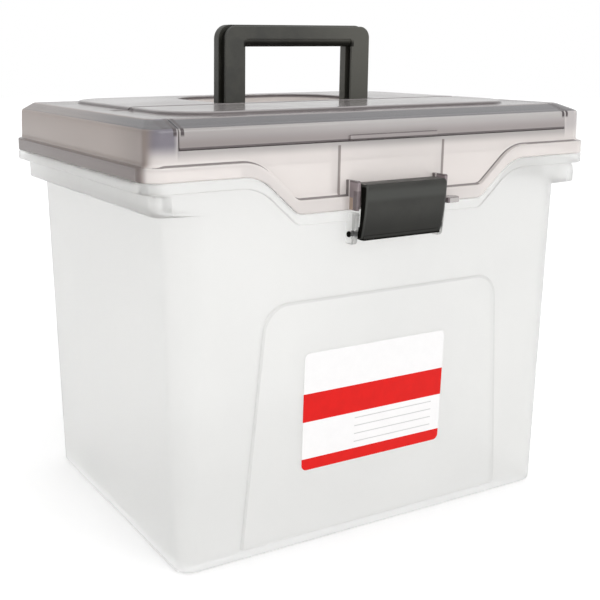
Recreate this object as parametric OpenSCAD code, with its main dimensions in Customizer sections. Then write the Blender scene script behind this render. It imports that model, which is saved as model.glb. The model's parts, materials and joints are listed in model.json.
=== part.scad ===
// Portable file box for letter-size hanging folders.
// Millimetres. +X runs along the front from left to right, the front faces -Y, +Z is up.
// The origin is the middle of the flat underside.

/* [Tub] */
// Width across the tub's top flange
rim_w = 350; // [335:1:380]
// Depth across the tub's top flange, front to back
rim_d = 240; // [225:1:265]
// Plan radius of the flange's corners
rim_r = 14; // [10:1:18]
// Height of the tub's top edge at the sides
tub_h = 251; // [240:1:275]
// Height of the flange's turned-down skirt
flange_drop = 6.5; // [4:0.5:9]
// How far the flange reaches out past the rail band at the sides
flange_reach = 7; // [6:0.5:9]
// How far the flange stands proud of the front and back walls
front_step = 2.3; // [1.6:0.1:4]
// Height of the stepped band that holds the folder rails
band_h = 22; // [18:1:26]
// Width of the step under the rail band at each side
band_step = 11.5; // [9:0.5:14]
// How much each side wall leans in from the band down to the base
draft_side = 4.3; // [2:0.1:8]
// How much the front and back walls lean in down to the base
draft_front = 5.6; // [2:0.1:8]
// Plan radius of the tapered body's corners
body_r = 24; // [18:1:28]
// Height of the rounding along the bottom edge
foot_r = 6; // [3:0.5:9]
// Wall thickness of the tub
wall = 2.2; // [1.8:0.1:2.8]
// Floor thickness
floor_t = 2.5; // [2:0.1:4]
// Height of the folder rails above their shelf
rail_h = 12.3; // [8:0.1:14]
// Length of each folder rail
rail_len = 190; // [120:1:196]

/* [Front wave] */
// How far the parting line dips at the middle of the front
wave_drop = 25; // [20:1:28]
// Half the width of the low, level part of the dip
wave_half = 70; // [62:1:78]
// Slope of the S-curve between the two levels, in degrees
wave_slope = 42; // [36:1:50]
// Radius of the curve at the upper level
wave_r_top = 30; // [20:1:34]
// Radius of the curve at the lower level
wave_r_low = 8; // [5:1:12]

/* [Front panel] */
// How far the raised field on the front wall stands out
panel_t = 0.8; // [0.5:0.1:1.2]
// Height of the top edge of the raised field
panel_top = 171; // [160:1:176]
// Half the width of the field's level top edge
panel_half_top = 76; // [70:1:82]
// Half the width of the field at its foot
panel_half_low = 111; // [104:1:116]
// Radius of the field's upper corners
panel_r = 17; // [10:1:20]

/* [Label] */
// Width of the paper label
label_w = 115; // [90:1:130]
// Height of the paper label
label_h = 81; // [60:1:84]
// Corner radius of the label
label_r = 4; // [2:0.5:8]
// Thickness of the label
label_t = 0.3; // [0.2:0.1:0.5]
// Label centre, left or right of the middle
label_x = -7; // [-12:1:12]
// Height of the label's centre
label_z = 95; // [85:1:105]

/* [Lid] */
// Height of the lid's rim band
lid_rim_h = 8.7; // [7:0.1:11]
// Width of the ledge between the rim's face and the dome
ledge_w = 3.7; // [3:0.1:5]
// Height of the dome's wall above the rim
dome_h = 21; // [19:0.5:26]
// How much the dome's wall leans in over its height
dome_lean = 0.8; // [0.2:0.1:1.5]
// Height of the sloped edge around the lid's top
bevel_h = 5; // [4:0.5:6]
// Depth of the sloped edge at the sides and the back
bevel_side = 7.5; // [6:0.5:10]
// Depth of the sloped edge along the front
bevel_front = 14.5; // [10:0.5:18]
// Wall thickness of the lid
lid_wall = 2.2; // [1.8:0.1:2.6]
// Height of the raised field on the lid's top
top_field_h = 2; // [1.5:0.1:2.5]
// Width of the raised field on the lid's top
top_field_w = 278; // [264:1:290]
// Radius of the raised field's front corners
top_field_r = 35; // [20:1:45]
// Setback of the raised field from the front of the dome
top_field_front = 28; // [22:1:32]
// Setback of the raised field from the back of the dome
top_field_back = 12; // [10:1:16]

/* [Handle] */
// Outer width of the handle
handle_w = 126; // [110:1:136]
// Height of the handle above the raised field
handle_h = 53; // [46:1:56]
// Thickness of the handle, front to back
handle_t = 13.6; // [12:0.1:15]
// Width of each leg seen from the front
leg_w = 16.5; // [14:0.5:18]
// Height of the front and back plates along the bar
bar_plate_h = 8.5; // [7:0.5:10]
// Overall height of the bar with its grip
bar_h = 15; // [13:0.5:17]
// Thickness of the front and back plates
plate_t = 3.6; // [3:0.1:4.2]
// How deep the web lies between the plates
web_inset = 2.4; // [1.5:0.1:3]
// Radius of the handle's outer top corners
handle_r = 9; // [6:0.5:12]
// Radius of the handle's pivot pins
handle_pin_r = 3; // [2.5:0.1:3.5]
// Side gap between each leg and the wall of the recess
handle_gap = 2.5; // [1.5:0.1:4]
// Length of the recess behind the pivot
recess_back = 88; // [76:1:92]
// Plan radius of the recess's rear corners
recess_r = 38; // [24:1:44]

/* [Organizer] */
// Width of the organizer flap
flap_w = 304; // [290:1:312]
// Thickness of the flap
flap_t = 2; // [1.6:0.1:2.4]
// Height of the flap's front edge
flap_lip_h = 12; // [10:0.5:14]
// How far the flap's front edge stands proud of the lid
flap_proud = 0.8; // [0.4:0.1:1.2]
// Distance of the flap's rear edge in front of the handle's centre
flap_back = 16.2; // [15:0.1:18]
// Half the width of the pull lip
pull_half = 35; // [25:1:40]
// Height of the pull lip
pull_h = 3.6; // [3:0.1:4.5]
// How far the pull lip stands out
pull_out = 1.9; // [1.5:0.1:2.5]
// Radius of the flap's hinge pins
flap_pin_r = 1.5; // [1.2:0.1:1.7]
// Depth of the tray below the collar
tray_depth = 19.8; // [16:0.1:21]
// Wall thickness of the tray
tray_wall = 1.6; // [1.2:0.1:2]
// Setback of the front pen slot's divider from the tray's front wall
pen_slot = 24; // [18:1:30]
// Half the width of the middle compartment behind the pen slot
mid_half = 50; // [35:1:70]

/* [Latch] */
// Width of the latch cover
latch_w = 64.8; // [56:0.2:70]
// Thickness of the ears beside the latch
ear_t = 2.7; // [2.2:0.1:3.2]
// Side gap between the latch and the ears
ear_gap = 0.9; // [0.5:0.1:1.3]
// How far the ears reach out in front of the rim
ear_reach = 12.3; // [11.5:0.1:13.5]
// Distance of the latch pivot below the lid's edge in the dip
latch_pivot_drop = 14.7; // [13:0.1:18]
// Distance of the latch pivot in front of the rim
latch_pivot_out = 1.5; // [1.3:0.1:2.5]
// Radius of the latch's trunnions
trunnion_r = 1.9; // [1.6:0.1:2.2]
// Thickness of the latch cover
cover_t = 2.4; // [2:0.1:3]
// Radius of the cover's bulge
cover_bulge_r = 75; // [65:1:110]
// Distance from the pivot up to the underside of the hook
hook_reach = 29.5; // [28.5:0.1:30.5]
// Thickness of the hook plate at the top of the latch
hook_plate_t = 2.5; // [2:0.1:3]
// How far the ears reach up past the latch
ear_over = 1.9; // [0.5:0.1:3]
// Length of the lift tab beside the right ear
tab_len = 11; // [8:0.5:13]

/* [Lid hinge] */
// Distance of each hinge clip from the middle
clip_x = 100; // [80:1:120]
// Width of each hinge clip
clip_w = 26; // [18:1:34]
// Radius of the hinge bar
hinge_bar_r = 2.5; // [2.2:0.1:2.8]
// Distance of the hinge bar behind the rim
hinge_out = 5.5; // [5.2:0.1:6.5]

/* [Fits] */
// Gap between the lid and the tub's flange
seat_gap = 0.3; // [0.2:0.05:0.5]
// Running clearance on radius of every pin and bar in its bore
run_fit = 0.06; // [0.03:0.01:0.1]
// Gap beside and under the flap where it sits in the lid
flap_gap = 0.4; // [0.3:0.05:0.6]
// Gap behind the flap's rear edge, wide enough for it to swing past upright
flap_rear_gap = 0.9; // [0.8:0.05:1.2]

/* [Hidden] */
$fn = 48;
hull_fn = 40;
skin = 0.01;
over = 1;
join = 0.2;

// Tub levels and plan sizes
band_z = tub_h - band_h;
band_w = rim_w - 2 * flange_reach;
body_w = band_w - 2 * band_step;
body_d = rim_d - 2 * front_step;
base_w = body_w - 2 * draft_side;
base_d = body_d - 2 * draft_front;
band_r = rim_r - front_step;
front_y = -rim_d / 2;
shelf_z = band_z + wall;

// Lid levels and plan sizes
lid_z = tub_h + seat_gap;
rim_top = lid_z + lid_rim_h;
ledge_z = rim_top - lid_wall;
dome_w = rim_w - 2 * ledge_w;
dome_y = rim_d / 2 - ledge_w;
dome_r = rim_r - ledge_w;
shoulder_z = rim_top + dome_h;
top_z = shoulder_z + bevel_h;
field_z = top_z + top_field_h;
field_front_y = -dome_y + top_field_front;
field_back_y = dome_y - top_field_back;
field_back_r = 8;
wave_low = rim_top - wave_drop;
band_under = lid_rim_h + seat_gap;

// Handle and its recess
handle_pivot_z = field_z - 0.5 - handle_t / 2;
handle_top = field_z + handle_h;
recess_half = handle_w / 2 + handle_gap;
recess_front = handle_t / 2 + 2.4;
recess_floor = handle_pivot_z - handle_t / 2 - 1.4;
handle_boss = 2.8;
handle_boss_r = handle_pin_r + 2.6;

// Flap, its hinge and the tray under it
barrel_r = field_z - top_z + 2.3;
end_barrel_r = 2.3;
flap_axis_y = -flap_back - barrel_r;
flap_axis_z = field_z - barrel_r;
flap_half = flap_w / 2;
flap_bottom = shoulder_z - flap_lip_h;
seat_inset = flap_t + flap_gap;
frame_inset = seat_inset + lid_wall;
mouth_half = flap_half - 6;
mouth_front = -dome_y + 12;
mouth_back = flap_axis_y - barrel_r - 2.2;
collar_z = flap_axis_z - barrel_r - 2.6;
tray_flange = 3;
tray_back_flange = 2;
hook_w = 12;
hook_t = 1.6;
hook_toe = 1.2;
flap_block = 5;
flap_pin_len = 3.6;
divider_wall = 1.4;
rib_t = 1.6;
rib_depth = 6.5;

// Latch
latch_pivot_z = wave_low - band_under - latch_pivot_drop;
ear_in = latch_w / 2 + ear_gap;
ear_out = ear_in + ear_t;
ear_front = front_y - ear_reach;
latch_y = front_y - latch_pivot_out;
cover_front = ear_front - 0.2;
cover_mid_z = latch_pivot_z + hook_reach * 2 / 3;
cover_centre_y = cover_front + cover_bulge_r;
cover_top = latch_pivot_z + hook_reach + hook_plate_t;
cover_bottom = latch_pivot_z - 3.9;
barrel_latch_r = trunnion_r + 1.9;
wave_bottom = wave_low - band_under;
rim_reach = wave_end() + 6;
apron_step = 0.15;
apron_back = -dome_y + lid_wall + 2 * apron_step;
catch_reach = hook_reach - 0.4;
ear_root_y = -body_d / 2 + 1.9;
catch_depth = 6.5;
tab_r = 5;
hinge_ear_t = 4;
hinge_y = rim_d / 2 + hinge_out;
hinge_z = tub_h - 0.5;

// Plan outline: a rectangle with rounded corners, centred
module plan(w, d, r) {
    square([w - 2 * r, d], center = true);
    square([w, d - 2 * r], center = true);
    for (sx = [-1, 1], sy = [-1, 1])
        translate([sx * (w / 2 - r), sy * (d / 2 - r)])
            circle(r);
}

// A block with rounded plan corners between two heights
module block(w, d, r, z0, z1) {
    translate([0, 0, z0])
        linear_extrude(z1 - z0)
            plan(w, d, r);
}

// A plain box from its low corner to its high corner
module box(low, high) {
    translate(low)
        cube(high - low);
}

// Slice of a rounded plan, for hulls, between two values of Y and a little or more thick
module slice(w, y0, y1, r, z, t = skin) {
    translate([0, (y0 + y1) / 2, z])
        linear_extrude(t)
            plan(w, y1 - y0, r, $fn = hull_fn);
}

// Extrudes a profile drawn in Y and Z along X
module along_x(x0, x1) {
    translate([x0, 0, 0])
        rotate([90, 0, 90])
            linear_extrude(x1 - x0)
                children();
}

// Extrudes a profile drawn in X and Z along Y
module along_y(y0, y1) {
    translate([0, y1, 0])
        rotate([90, 0, 0])
            linear_extrude(y1 - y0)
                children();
}

// Puts a copy on the left and on the right
module both_sides() {
    for (side = [0, 1])
        mirror([side, 0, 0])
            children();
}

// Parting curve of the front, from the middle out to the right-hand upper level
function wave_run(r_sum) = (wave_drop - r_sum * (1 - cos(wave_slope))) / sin(wave_slope);
function wave_end() = wave_half + (wave_r_top + wave_r_low) * sin(wave_slope)
    + wave_run(wave_r_top + wave_r_low) * cos(wave_slope);
function wave_right(high, steps = 8) = concat(
    [for (i = [0 : steps]) let (a = -90 + wave_slope * i / steps)
        [wave_half + wave_r_low * cos(a), high - wave_drop + wave_r_low * (1 + sin(a))]],
    [for (i = [0 : steps]) let (a = 90 + wave_slope * (1 - i / steps))
        [wave_end() + wave_r_top * cos(a), high - wave_r_top * (1 - sin(a))]]);
function mirrored(points) = [for (i = [len(points) - 1 : -1 : 0]) [-points[i][0], points[i][1]]];
function wave_line(high, reach) = concat(
    [[-reach, high]], mirrored(wave_right(high)), wave_right(high), [[reach, high]]);

// Area between the parting curve and a level above it
module above_wave(high, reach, top) {
    polygon(concat(wave_line(high, reach), [[reach, top], [-reach, top]]));
}

// Strip of even height under the parting curve
module under_wave(high, reach, drop) {
    line = wave_line(high, reach);
    lower = [for (i = [len(line) - 1 : -1 : 0]) [line[i][0], line[i][1] - drop]];
    polygon(concat(line, lower));
}

// Tapered body of the tub, grown outwards by a margin on the front only
module body_shape(front_margin = 0) {
    hull() {
        slice(base_w - 2 * foot_r, -base_d / 2 + foot_r - front_margin, base_d / 2 - foot_r,
            body_r - foot_r, 0);
        slice(base_w - foot_r * 0.6, -base_d / 2 + foot_r * 0.3 - front_margin,
            base_d / 2 - foot_r * 0.3, body_r - foot_r * 0.3, foot_r * 0.3);
        slice(base_w, -base_d / 2 - front_margin, base_d / 2, body_r, foot_r);
        slice(body_w, -body_d / 2 - front_margin, body_d / 2, body_r, band_z);
    }
}

// Space inside the tapered body
module body_space() {
    hull() {
        slice(base_w - 2 * foot_r, -base_d / 2 + foot_r, base_d / 2 - foot_r,
            body_r - foot_r, floor_t);
        slice(base_w - 2 * wall, -base_d / 2 + wall, base_d / 2 - wall,
            body_r - wall, floor_t + foot_r);
        slice(body_w - 2 * wall, -body_d / 2 + wall, body_d / 2 - wall, body_r - wall,
            shelf_z, tub_h + over - shelf_z);
    }
}

// Outline of the raised field on the front wall, an arch that widens to its foot
module front_field_outline() {
    arc_z = panel_top - panel_r;
    half_shoulder = panel_half_top + panel_r;
    polygon(concat(
        [[-panel_half_low, foot_r], [-half_shoulder, arc_z]],
        [for (i = [1 : 7]) let (a = 180 - 90 * i / 8)
            [-panel_half_top + panel_r * cos(a), arc_z + panel_r * sin(a)]],
        [[-panel_half_top, panel_top], [panel_half_top, panel_top]],
        [for (i = [1 : 7]) let (a = 90 - 90 * i / 8)
            [panel_half_top + panel_r * cos(a), arc_z + panel_r * sin(a)]],
        [[half_shoulder, arc_z], [panel_half_low, foot_r]]));
}

// Side view of a bracket that stands out from the front, with rounded front corners
module front_bracket(z0, z1, r) {
    translate([ear_front + r, z0])
        square([ear_root_y - ear_front - r, z1 - z0]);
    translate([ear_front, z0 + r])
        square([r + over, z1 - z0 - 2 * r]);
    for (z = [z0 + r, z1 - r])
        translate([ear_front + r, z])
            circle(r);
}

// Folder rail on its shelf, on the right side
module folder_rail() {
    box([body_w / 2 - wall, -rail_len / 2, shelf_z - over],
        [body_w / 2, rail_len / 2, shelf_z + rail_h]);
}

// Ear pair and bar that carry one hinge clip, centred on X
module hinge_station() {
    gap = 0.8;
    ear_mid = clip_w / 2 + gap + hinge_ear_t / 2;
    for (side = [-1, 1])
        along_x(side * ear_mid - hinge_ear_t / 2, side * ear_mid + hinge_ear_t / 2)
            union() {
                translate([hinge_y, hinge_z])
                    circle(hinge_bar_r + 2);
                polygon([[rim_d / 2 - front_step, tub_h - flange_drop],
                    [rim_d / 2 - front_step, tub_h - 0.2], [hinge_y, tub_h - 0.2],
                    [hinge_y + hinge_bar_r, hinge_z - hinge_bar_r], [hinge_y, hinge_z - hinge_bar_r - 2]]);
            }
    translate([-ear_mid, hinge_y, hinge_z])
        rotate([0, 90, 0])
            cylinder(r = hinge_bar_r, h = 2 * ear_mid);
}

// Frosted tub with its flange, folder rails, latch brackets and hinge bars
module tub() {
    cut_front = front_y - over;
    cut_back = -body_d / 2 + 4 * wall;
    color([0.93, 0.93, 0.92, 0.75]) {
        difference() {
            union() {
                body_shape();
                intersection() {
                    body_shape(panel_t);
                    along_y(front_y - over, -base_d / 2 + foot_r)
                        front_field_outline();
                }
                block(band_w, body_d, band_r, band_z, tub_h);
                block(rim_w, rim_d, rim_r, tub_h - flange_drop, tub_h);
                along_y(front_y, -body_d / 2 + wall)
                    under_wave(tub_h, rim_reach, flange_drop);
            }
            body_space();
            block(band_w - 2 * wall, body_d - 2 * wall, band_r - wall, shelf_z, tub_h + over);
            both_sides()
                box([band_w / 2, -rail_len / 2, tub_h - flange_drop - over],
                    [rim_w / 2 - wall, rail_len / 2, tub_h - wall]);
            along_y(cut_front, cut_back)
                above_wave(tub_h, rim_reach, tub_h + over);
        }
        both_sides()
            folder_rail();
        both_sides()
            difference() {
                along_x(ear_in, ear_out)
                    front_bracket(cover_bottom - 2.6, wave_bottom - 0.8, 2.5);
                translate([ear_in - over, latch_y, latch_pivot_z])
                    rotate([0, 90, 0])
                        cylinder(r = trunnion_r + run_fit, h = ear_t + 2 * over);
            }
        both_sides()
            translate([clip_x, 0, 0])
                hinge_station();
    }
}

// Paper label on the raised field of the front wall
module label() {
    lean = atan(draft_front / (band_z - foot_r));
    wall_y = -base_d / 2 - panel_t - (label_z - foot_r) * tan(lean);
    color([0.95, 0.94, 0.93])
        translate([label_x, wall_y - 0.03, label_z])
            rotate([lean, 0, 0])
                along_y(-label_t, 0)
                    plan(label_w, label_h, label_r);
}

// Closed outer form of the lid's dome, moved inwards by an inset, from a low level up
module dome(inset = 0, low_z = rim_top - 1) {
    low_w = dome_w - 2 * inset;
    low_y = dome_y - inset;
    high_w = low_w - 2 * dome_lean;
    high_y = low_y - dome_lean;
    r = max(dome_r - inset, 2);
    hull() {
        slice(low_w, -low_y, low_y, r, low_z);
        slice(high_w, -high_y, high_y, r, shoulder_z - inset * 0.5);
        slice(high_w - 2 * bevel_side, -high_y + bevel_front, high_y - bevel_side,
            max(r - 2, 2), top_z - inset - skin);
    }
}

// Outline of the raised field on top, with wide front corners, moved inwards by an inset
module top_field_outline(inset = 0) {
    half = top_field_w / 2 - inset;
    front = field_front_y + inset;
    back = field_back_y - inset;
    r = top_field_r - inset;
    rb = field_back_r - inset;
    translate([-half + r, front])
        square([2 * (half - r), r + over]);
    translate([-half, front + r])
        square([2 * half, back - front - r - rb]);
    translate([-half + rb, back - rb - over])
        square([2 * (half - rb), rb + over]);
    for (side = [-1, 1]) {
        translate([side * (half - r), front + r])
            circle(r);
        translate([side * (half - rb), back - rb])
            circle(rb);
    }
}

// Plan of the handle recess, with wide rear corners
module recess_outline(grow = 0) {
    half = recess_half + grow;
    r = recess_r + grow;
    back = recess_back + grow;
    translate([-half, -recess_front - grow])
        square([2 * half, recess_front + grow + back - r]);
    translate([-half + r, 0])
        square([2 * (half - r), back]);
    for (side = [-1, 1])
        translate([side * (half - r), back - r])
            circle(r);
}

// Space that the flap takes in the lid, grown by a margin on its sides and rear
module flap_space(margin) {
    field_half = top_field_w / 2 + margin;
    rear = margin - flap_gap + flap_rear_gap;
    box([-field_half, front_y - over, flap_bottom - margin],
        [field_half, -flap_back + rear, field_z + over]);
    box([-flap_half - margin, front_y - over, flap_bottom - margin],
        [flap_half + margin, flap_axis_y + end_barrel_r + rear, field_z + over]);
}

// Rim and dome in one shell, with the sunken seat under the flap
module lid_shell() {
    difference() {
        union() {
            difference() {
                block(rim_w, rim_d, rim_r, lid_z, rim_top);
                block(rim_w - 2 * lid_wall, rim_d - 2 * lid_wall, rim_r - lid_wall,
                    lid_z - over, ledge_z);
                along_y(front_y - over, -dome_y + lid_wall / 2)
                    above_wave(rim_top, rim_reach + over, rim_top + over);
            }
            dome();
        }
        difference() {
            dome(lid_wall, ledge_z - over);
            flap_space(flap_gap + lid_wall);
        }
        intersection() {
            dome(frame_inset);
            flap_space(flap_gap + lid_wall);
        }
        difference() {
            flap_space(flap_gap);
            dome(seat_inset);
        }
        box([-mouth_half, mouth_front, collar_z - over], [mouth_half, mouth_back, field_z + over]);
    }
}

// Lid shell with its raised field, hollow from below behind the flap's trough
module lid_top() {
    difference() {
        union() {
            lid_shell();
            difference() {
                translate([0, 0, top_z - over])
                    linear_extrude(top_field_h + over)
                        top_field_outline();
                flap_space(flap_gap);
            }
        }
        translate([0, 0, top_z - lid_wall - over])
            linear_extrude(top_field_h + over)
                intersection() {
                    top_field_outline(lid_wall);
                    translate([-top_field_w / 2, -flap_back + flap_rear_gap + lid_wall])
                        square([top_field_w, 2 * dome_y]);
                }
    }
}

// Band along the front that follows the S-curve, and the apron that fills the dip above it
module lid_front() {
    along_y(front_y, apron_back)
        under_wave(rim_top, rim_reach, lid_rim_h);
    along_y(-dome_y + apron_step, apron_back)
        above_wave(rim_top - lid_rim_h / 2, rim_reach, rim_top - over / 2);
}

// Collar round the tray's mouth, with the block that the flap's trough is cut in
module tray_collar() {
    under_seat = top_z - frame_inset + join;
    trough_back = -flap_back + flap_rear_gap + lid_wall;
    difference() {
        union() {
            box([-mouth_half - lid_wall, mouth_front - lid_wall, collar_z],
                [mouth_half + lid_wall, mouth_back, under_seat]);
            box([-flap_half - flap_gap - lid_wall, mouth_back, collar_z],
                [flap_half + flap_gap + lid_wall, trough_back, top_z - join]);
        }
        box([-mouth_half, mouth_front, collar_z - over], [mouth_half, mouth_back, top_z]);
    }
}

// Room in the lid for the flap's rear edge to turn
module flap_trough() {
    half = flap_half + flap_gap;
    box([-half, mouth_back - over, flap_axis_z], [half, -flap_back + flap_rear_gap, top_z - join]);
    translate([-half, flap_axis_y, flap_axis_z])
        rotate([0, 90, 0])
            cylinder(r = barrel_r + flap_gap, h = 2 * half);
}

// Snap hooks that hold the tray's flange from below
module tray_hooks() {
    fit = 0.1;
    low = collar_z - tray_wall - fit - hook_t;
    high = collar_z + 3;
    front_edge = mouth_front - lid_wall - tray_flange - fit;
    side_edge = mouth_half + lid_wall + tray_flange + fit;
    for (side = [-1, 1])
        translate([side * mouth_half * 0.6, 0, 0]) {
            box([-hook_w / 2, front_edge - hook_t, low], [hook_w / 2, front_edge, high]);
            box([-hook_w / 2, front_edge - hook_t, collar_z + fit],
                [hook_w / 2, mouth_front - lid_wall + join, high]);
            box([-hook_w / 2, front_edge - hook_t, low], [hook_w / 2, front_edge + hook_toe, low + hook_t]);
        }
    both_sides()
        translate([0, (mouth_front + mouth_back) / 2, 0]) {
            box([side_edge, -hook_w / 2, low], [side_edge + hook_t, hook_w / 2, high]);
            box([mouth_half + lid_wall - join, -hook_w / 2, collar_z + fit],
                [side_edge + hook_t, hook_w / 2, high]);
            box([side_edge - hook_toe, -hook_w / 2, low], [side_edge + hook_t, hook_w / 2, low + hook_t]);
        }
}

// Walls and floor of the handle recess with the pivot bosses
module recess_tub() {
    translate([0, 0, recess_floor - lid_wall])
        linear_extrude(field_z - recess_floor + lid_wall)
            recess_outline(lid_wall);
    both_sides()
        translate([recess_half, 0, handle_pivot_z])
            rotate([0, 90, 0])
                cylinder(r = handle_boss_r, h = lid_wall + handle_boss);
}

// Clip that snaps over one hinge bar, centred on X
module hinge_clip() {
    clip_r = hinge_out - 0.5;
    mouth = 2 * hinge_bar_r - 0.8;
    along_x(-clip_w / 2, clip_w / 2)
        difference() {
            union() {
                translate([hinge_y, hinge_z])
                    circle(clip_r);
                polygon([[rim_d / 2 - 1.5, lid_z], [rim_d / 2 - 1.5, rim_top - 0.5],
                    [rim_d / 2 + 2.5, rim_top - 0.5], [hinge_y + clip_r * 0.75, hinge_z + clip_r * 0.66],
                    [hinge_y, hinge_z], [rim_d / 2 + 0.6, lid_z]]);
            }
            translate([hinge_y, hinge_z])
                circle(hinge_bar_r + run_fit);
            translate([hinge_y - mouth / 2, hinge_z - hinge_out - over])
                square([mouth, hinge_out + over]);
        }
}

// Ears, catch and lift tab at the front of the lid
module latch_ears() {
    ear_top = cover_top + ear_over;
    both_sides()
        along_x(ear_in, ear_out)
            front_bracket(wave_bottom + seat_gap, ear_top, 1.5);
    along_x(-ear_in - ear_t / 2, ear_in + ear_t / 2)
        difference() {
            intersection() {
                translate([front_y - catch_depth, wave_bottom + seat_gap + lid_wall])
                    square([catch_depth + 2, hook_reach]);
                translate([latch_y, latch_pivot_z])
                    circle(catch_reach, $fn = 96);
            }
            intersection() {
                translate([front_y - catch_depth + lid_wall, wave_bottom])
                    square([catch_depth - lid_wall, hook_reach]);
                translate([latch_y, latch_pivot_z])
                    circle(catch_reach - lid_wall, $fn = 96);
            }
        }
    translate([ear_out - over, ear_front + tab_r + 1.5, wave_bottom + seat_gap])
        linear_extrude(3.6) {
            translate([0, -tab_r])
                square([tab_len + over - tab_r, 2 * tab_r]);
            translate([tab_len + over - tab_r, 0])
                circle(tab_r);
        }
}

// Inner ribs behind the apron, one each side of the latch
module apron_ribs() {
    both_sides()
        box([ear_out + 4.6, apron_back - join, wave_low + 1],
            [ear_out + 4.6 + rib_t, apron_back + rib_depth, flap_bottom - flap_gap - lid_wall]);
}

// Smoke-grey lid
module lid() {
    color([0.66, 0.63, 0.63, 0.75])
        difference() {
            union() {
                lid_top();
                lid_front();
                tray_collar();
                tray_hooks();
                recess_tub();
                latch_ears();
                apron_ribs();
                both_sides() {
                    translate([clip_x, 0, 0])
                        hinge_clip();
                    box([flap_half + flap_gap, flap_axis_y - flap_block, flap_axis_z - flap_block],
                        [flap_half + flap_gap + flap_block, flap_axis_y + flap_block, top_z - join]);
                }
            }
            flap_trough();
            translate([0, 0, recess_floor])
                linear_extrude(field_z - recess_floor + over)
                    recess_outline();
            translate([-recess_half - lid_wall - handle_boss - over, 0, handle_pivot_z])
                rotate([0, 90, 0])
                    cylinder(r = handle_pin_r + run_fit, h = 2 * (recess_half + lid_wall + handle_boss + over));
            both_sides()
                translate([flap_half + flap_gap - over, flap_axis_y, flap_axis_z])
                    rotate([0, 90, 0])
                        cylinder(r = flap_pin_r + run_fit, h = flap_pin_len + flap_gap + over);
        }
}

// Front flap of the lid with its pull lip, hinge barrel and pins
module organizer_flap() {
    color([0.62, 0.59, 0.6, 0.75]) {
        intersection() {
            difference() {
                union() {
                    translate([0, -flap_proud, 0])
                        dome();
                    translate([0, 0, top_z - over])
                        linear_extrude(top_field_h + over)
                            top_field_outline();
                }
                dome(flap_t);
                translate([0, 0, top_z - flap_t - over])
                    linear_extrude(top_field_h + over)
                        intersection() {
                            top_field_outline(flap_t);
                            translate([-top_field_w / 2, -2 * dome_y])
                                square([top_field_w, 2 * dome_y + flap_axis_y - barrel_r]);
                        }
            }
            box([-flap_half, front_y - over, flap_bottom],
                [flap_half, flap_axis_y, field_z + over]);
        }
        translate([-top_field_w / 2, flap_axis_y, flap_axis_z])
            rotate([0, 90, 0])
                cylinder(r = barrel_r, h = top_field_w);
        translate([-flap_half, flap_axis_y, flap_axis_z])
            rotate([0, 90, 0])
                cylinder(r = end_barrel_r, h = flap_w);
        translate([-flap_half - flap_pin_len, flap_axis_y, flap_axis_z])
            rotate([0, 90, 0])
                cylinder(r = flap_pin_r, h = flap_w + 2 * flap_pin_len);
        translate([0, -dome_y - flap_proud - pull_out, flap_bottom + join])
            linear_extrude(pull_h)
                translate([0, (pull_out + over) / 2])
                    plan(2 * pull_half, pull_out + over, 1.2);
    }
}

// Organizer tray with a pen slot in front and three compartments behind
module organizer_tray() {
    x_out = mouth_half + lid_wall;
    y_front = mouth_front - lid_wall;
    y_back = mouth_back;
    floor_z = collar_z - tray_depth;
    inner_x = x_out - tray_wall;
    inner_front = y_front + tray_wall;
    inner_back = y_back - tray_wall;
    divider_y = inner_front + pen_slot;
    divider_top = collar_z - 2;
    color([0.78, 0.77, 0.76, 0.8]) {
        difference() {
            union() {
                box([-x_out, y_front, floor_z - tray_wall], [x_out, y_back, collar_z]);
                box([-x_out - tray_flange, y_front - tray_flange, collar_z - tray_wall],
                    [x_out + tray_flange, y_back + tray_back_flange, collar_z]);
            }
            box([-inner_x, inner_front, floor_z], [inner_x, inner_back, collar_z + over]);
        }
        box([-inner_x - join, divider_y, floor_z - join],
            [inner_x + join, divider_y + divider_wall, divider_top]);
        both_sides()
            box([mid_half, divider_y + divider_wall - join, floor_z - join],
                [mid_half + divider_wall, inner_back + join, divider_top]);
    }
}

// Outline of the handle's front and back plates, drawn in X and Z
module handle_outline(inset = 0) {
    half = handle_w / 2 - inset;
    inner = handle_w / 2 - leg_w + inset;
    top = handle_top - inset;
    r = handle_r - inset;
    foot = handle_pivot_z;
    difference() {
        union() {
            translate([-half, foot])
                square([2 * half, top - foot - r]);
            translate([-half + r, foot])
                square([2 * (half - r), top - foot]);
            for (side = [-1, 1])
                translate([side * (half - r), top - r])
                    circle(r);
        }
        translate([-inner, foot - over])
            square([2 * inner, handle_top - bar_plate_h + inset - foot + over]);
    }
}

// Carrying handle: two plates on a web, a rounded grip under the bar and two pivot pins
module handle() {
    half_t = handle_t / 2;
    grip_r = half_t - 0.7;
    inner = handle_w / 2 - leg_w;
    color([0.3, 0.3, 0.28]) {
        along_y(-half_t, -half_t + plate_t)
            handle_outline();
        along_y(half_t - plate_t, half_t)
            handle_outline();
        along_y(-half_t + plate_t - 0.1, half_t - plate_t + 0.1)
            handle_outline(web_inset);
        along_x(-inner - web_inset, inner + web_inset)
            union() {
                translate([0, handle_top - bar_h + grip_r])
                    circle(grip_r);
                translate([-grip_r, handle_top - bar_h + grip_r])
                    square([2 * grip_r, bar_h - bar_plate_h - grip_r + 1.5]);
            }
        for (side = [-1, 1])
            translate([side * (handle_w / 2 - leg_w / 2) - leg_w / 2, 0, handle_pivot_z])
                rotate([0, 90, 0])
                    cylinder(r = half_t, h = leg_w);
        both_sides()
            translate([handle_w / 2 - over, 0, handle_pivot_z])
                rotate([0, 90, 0])
                    cylinder(r = handle_pin_r, h = handle_gap + lid_wall + handle_boss - 0.3 + over);
    }
}

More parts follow.
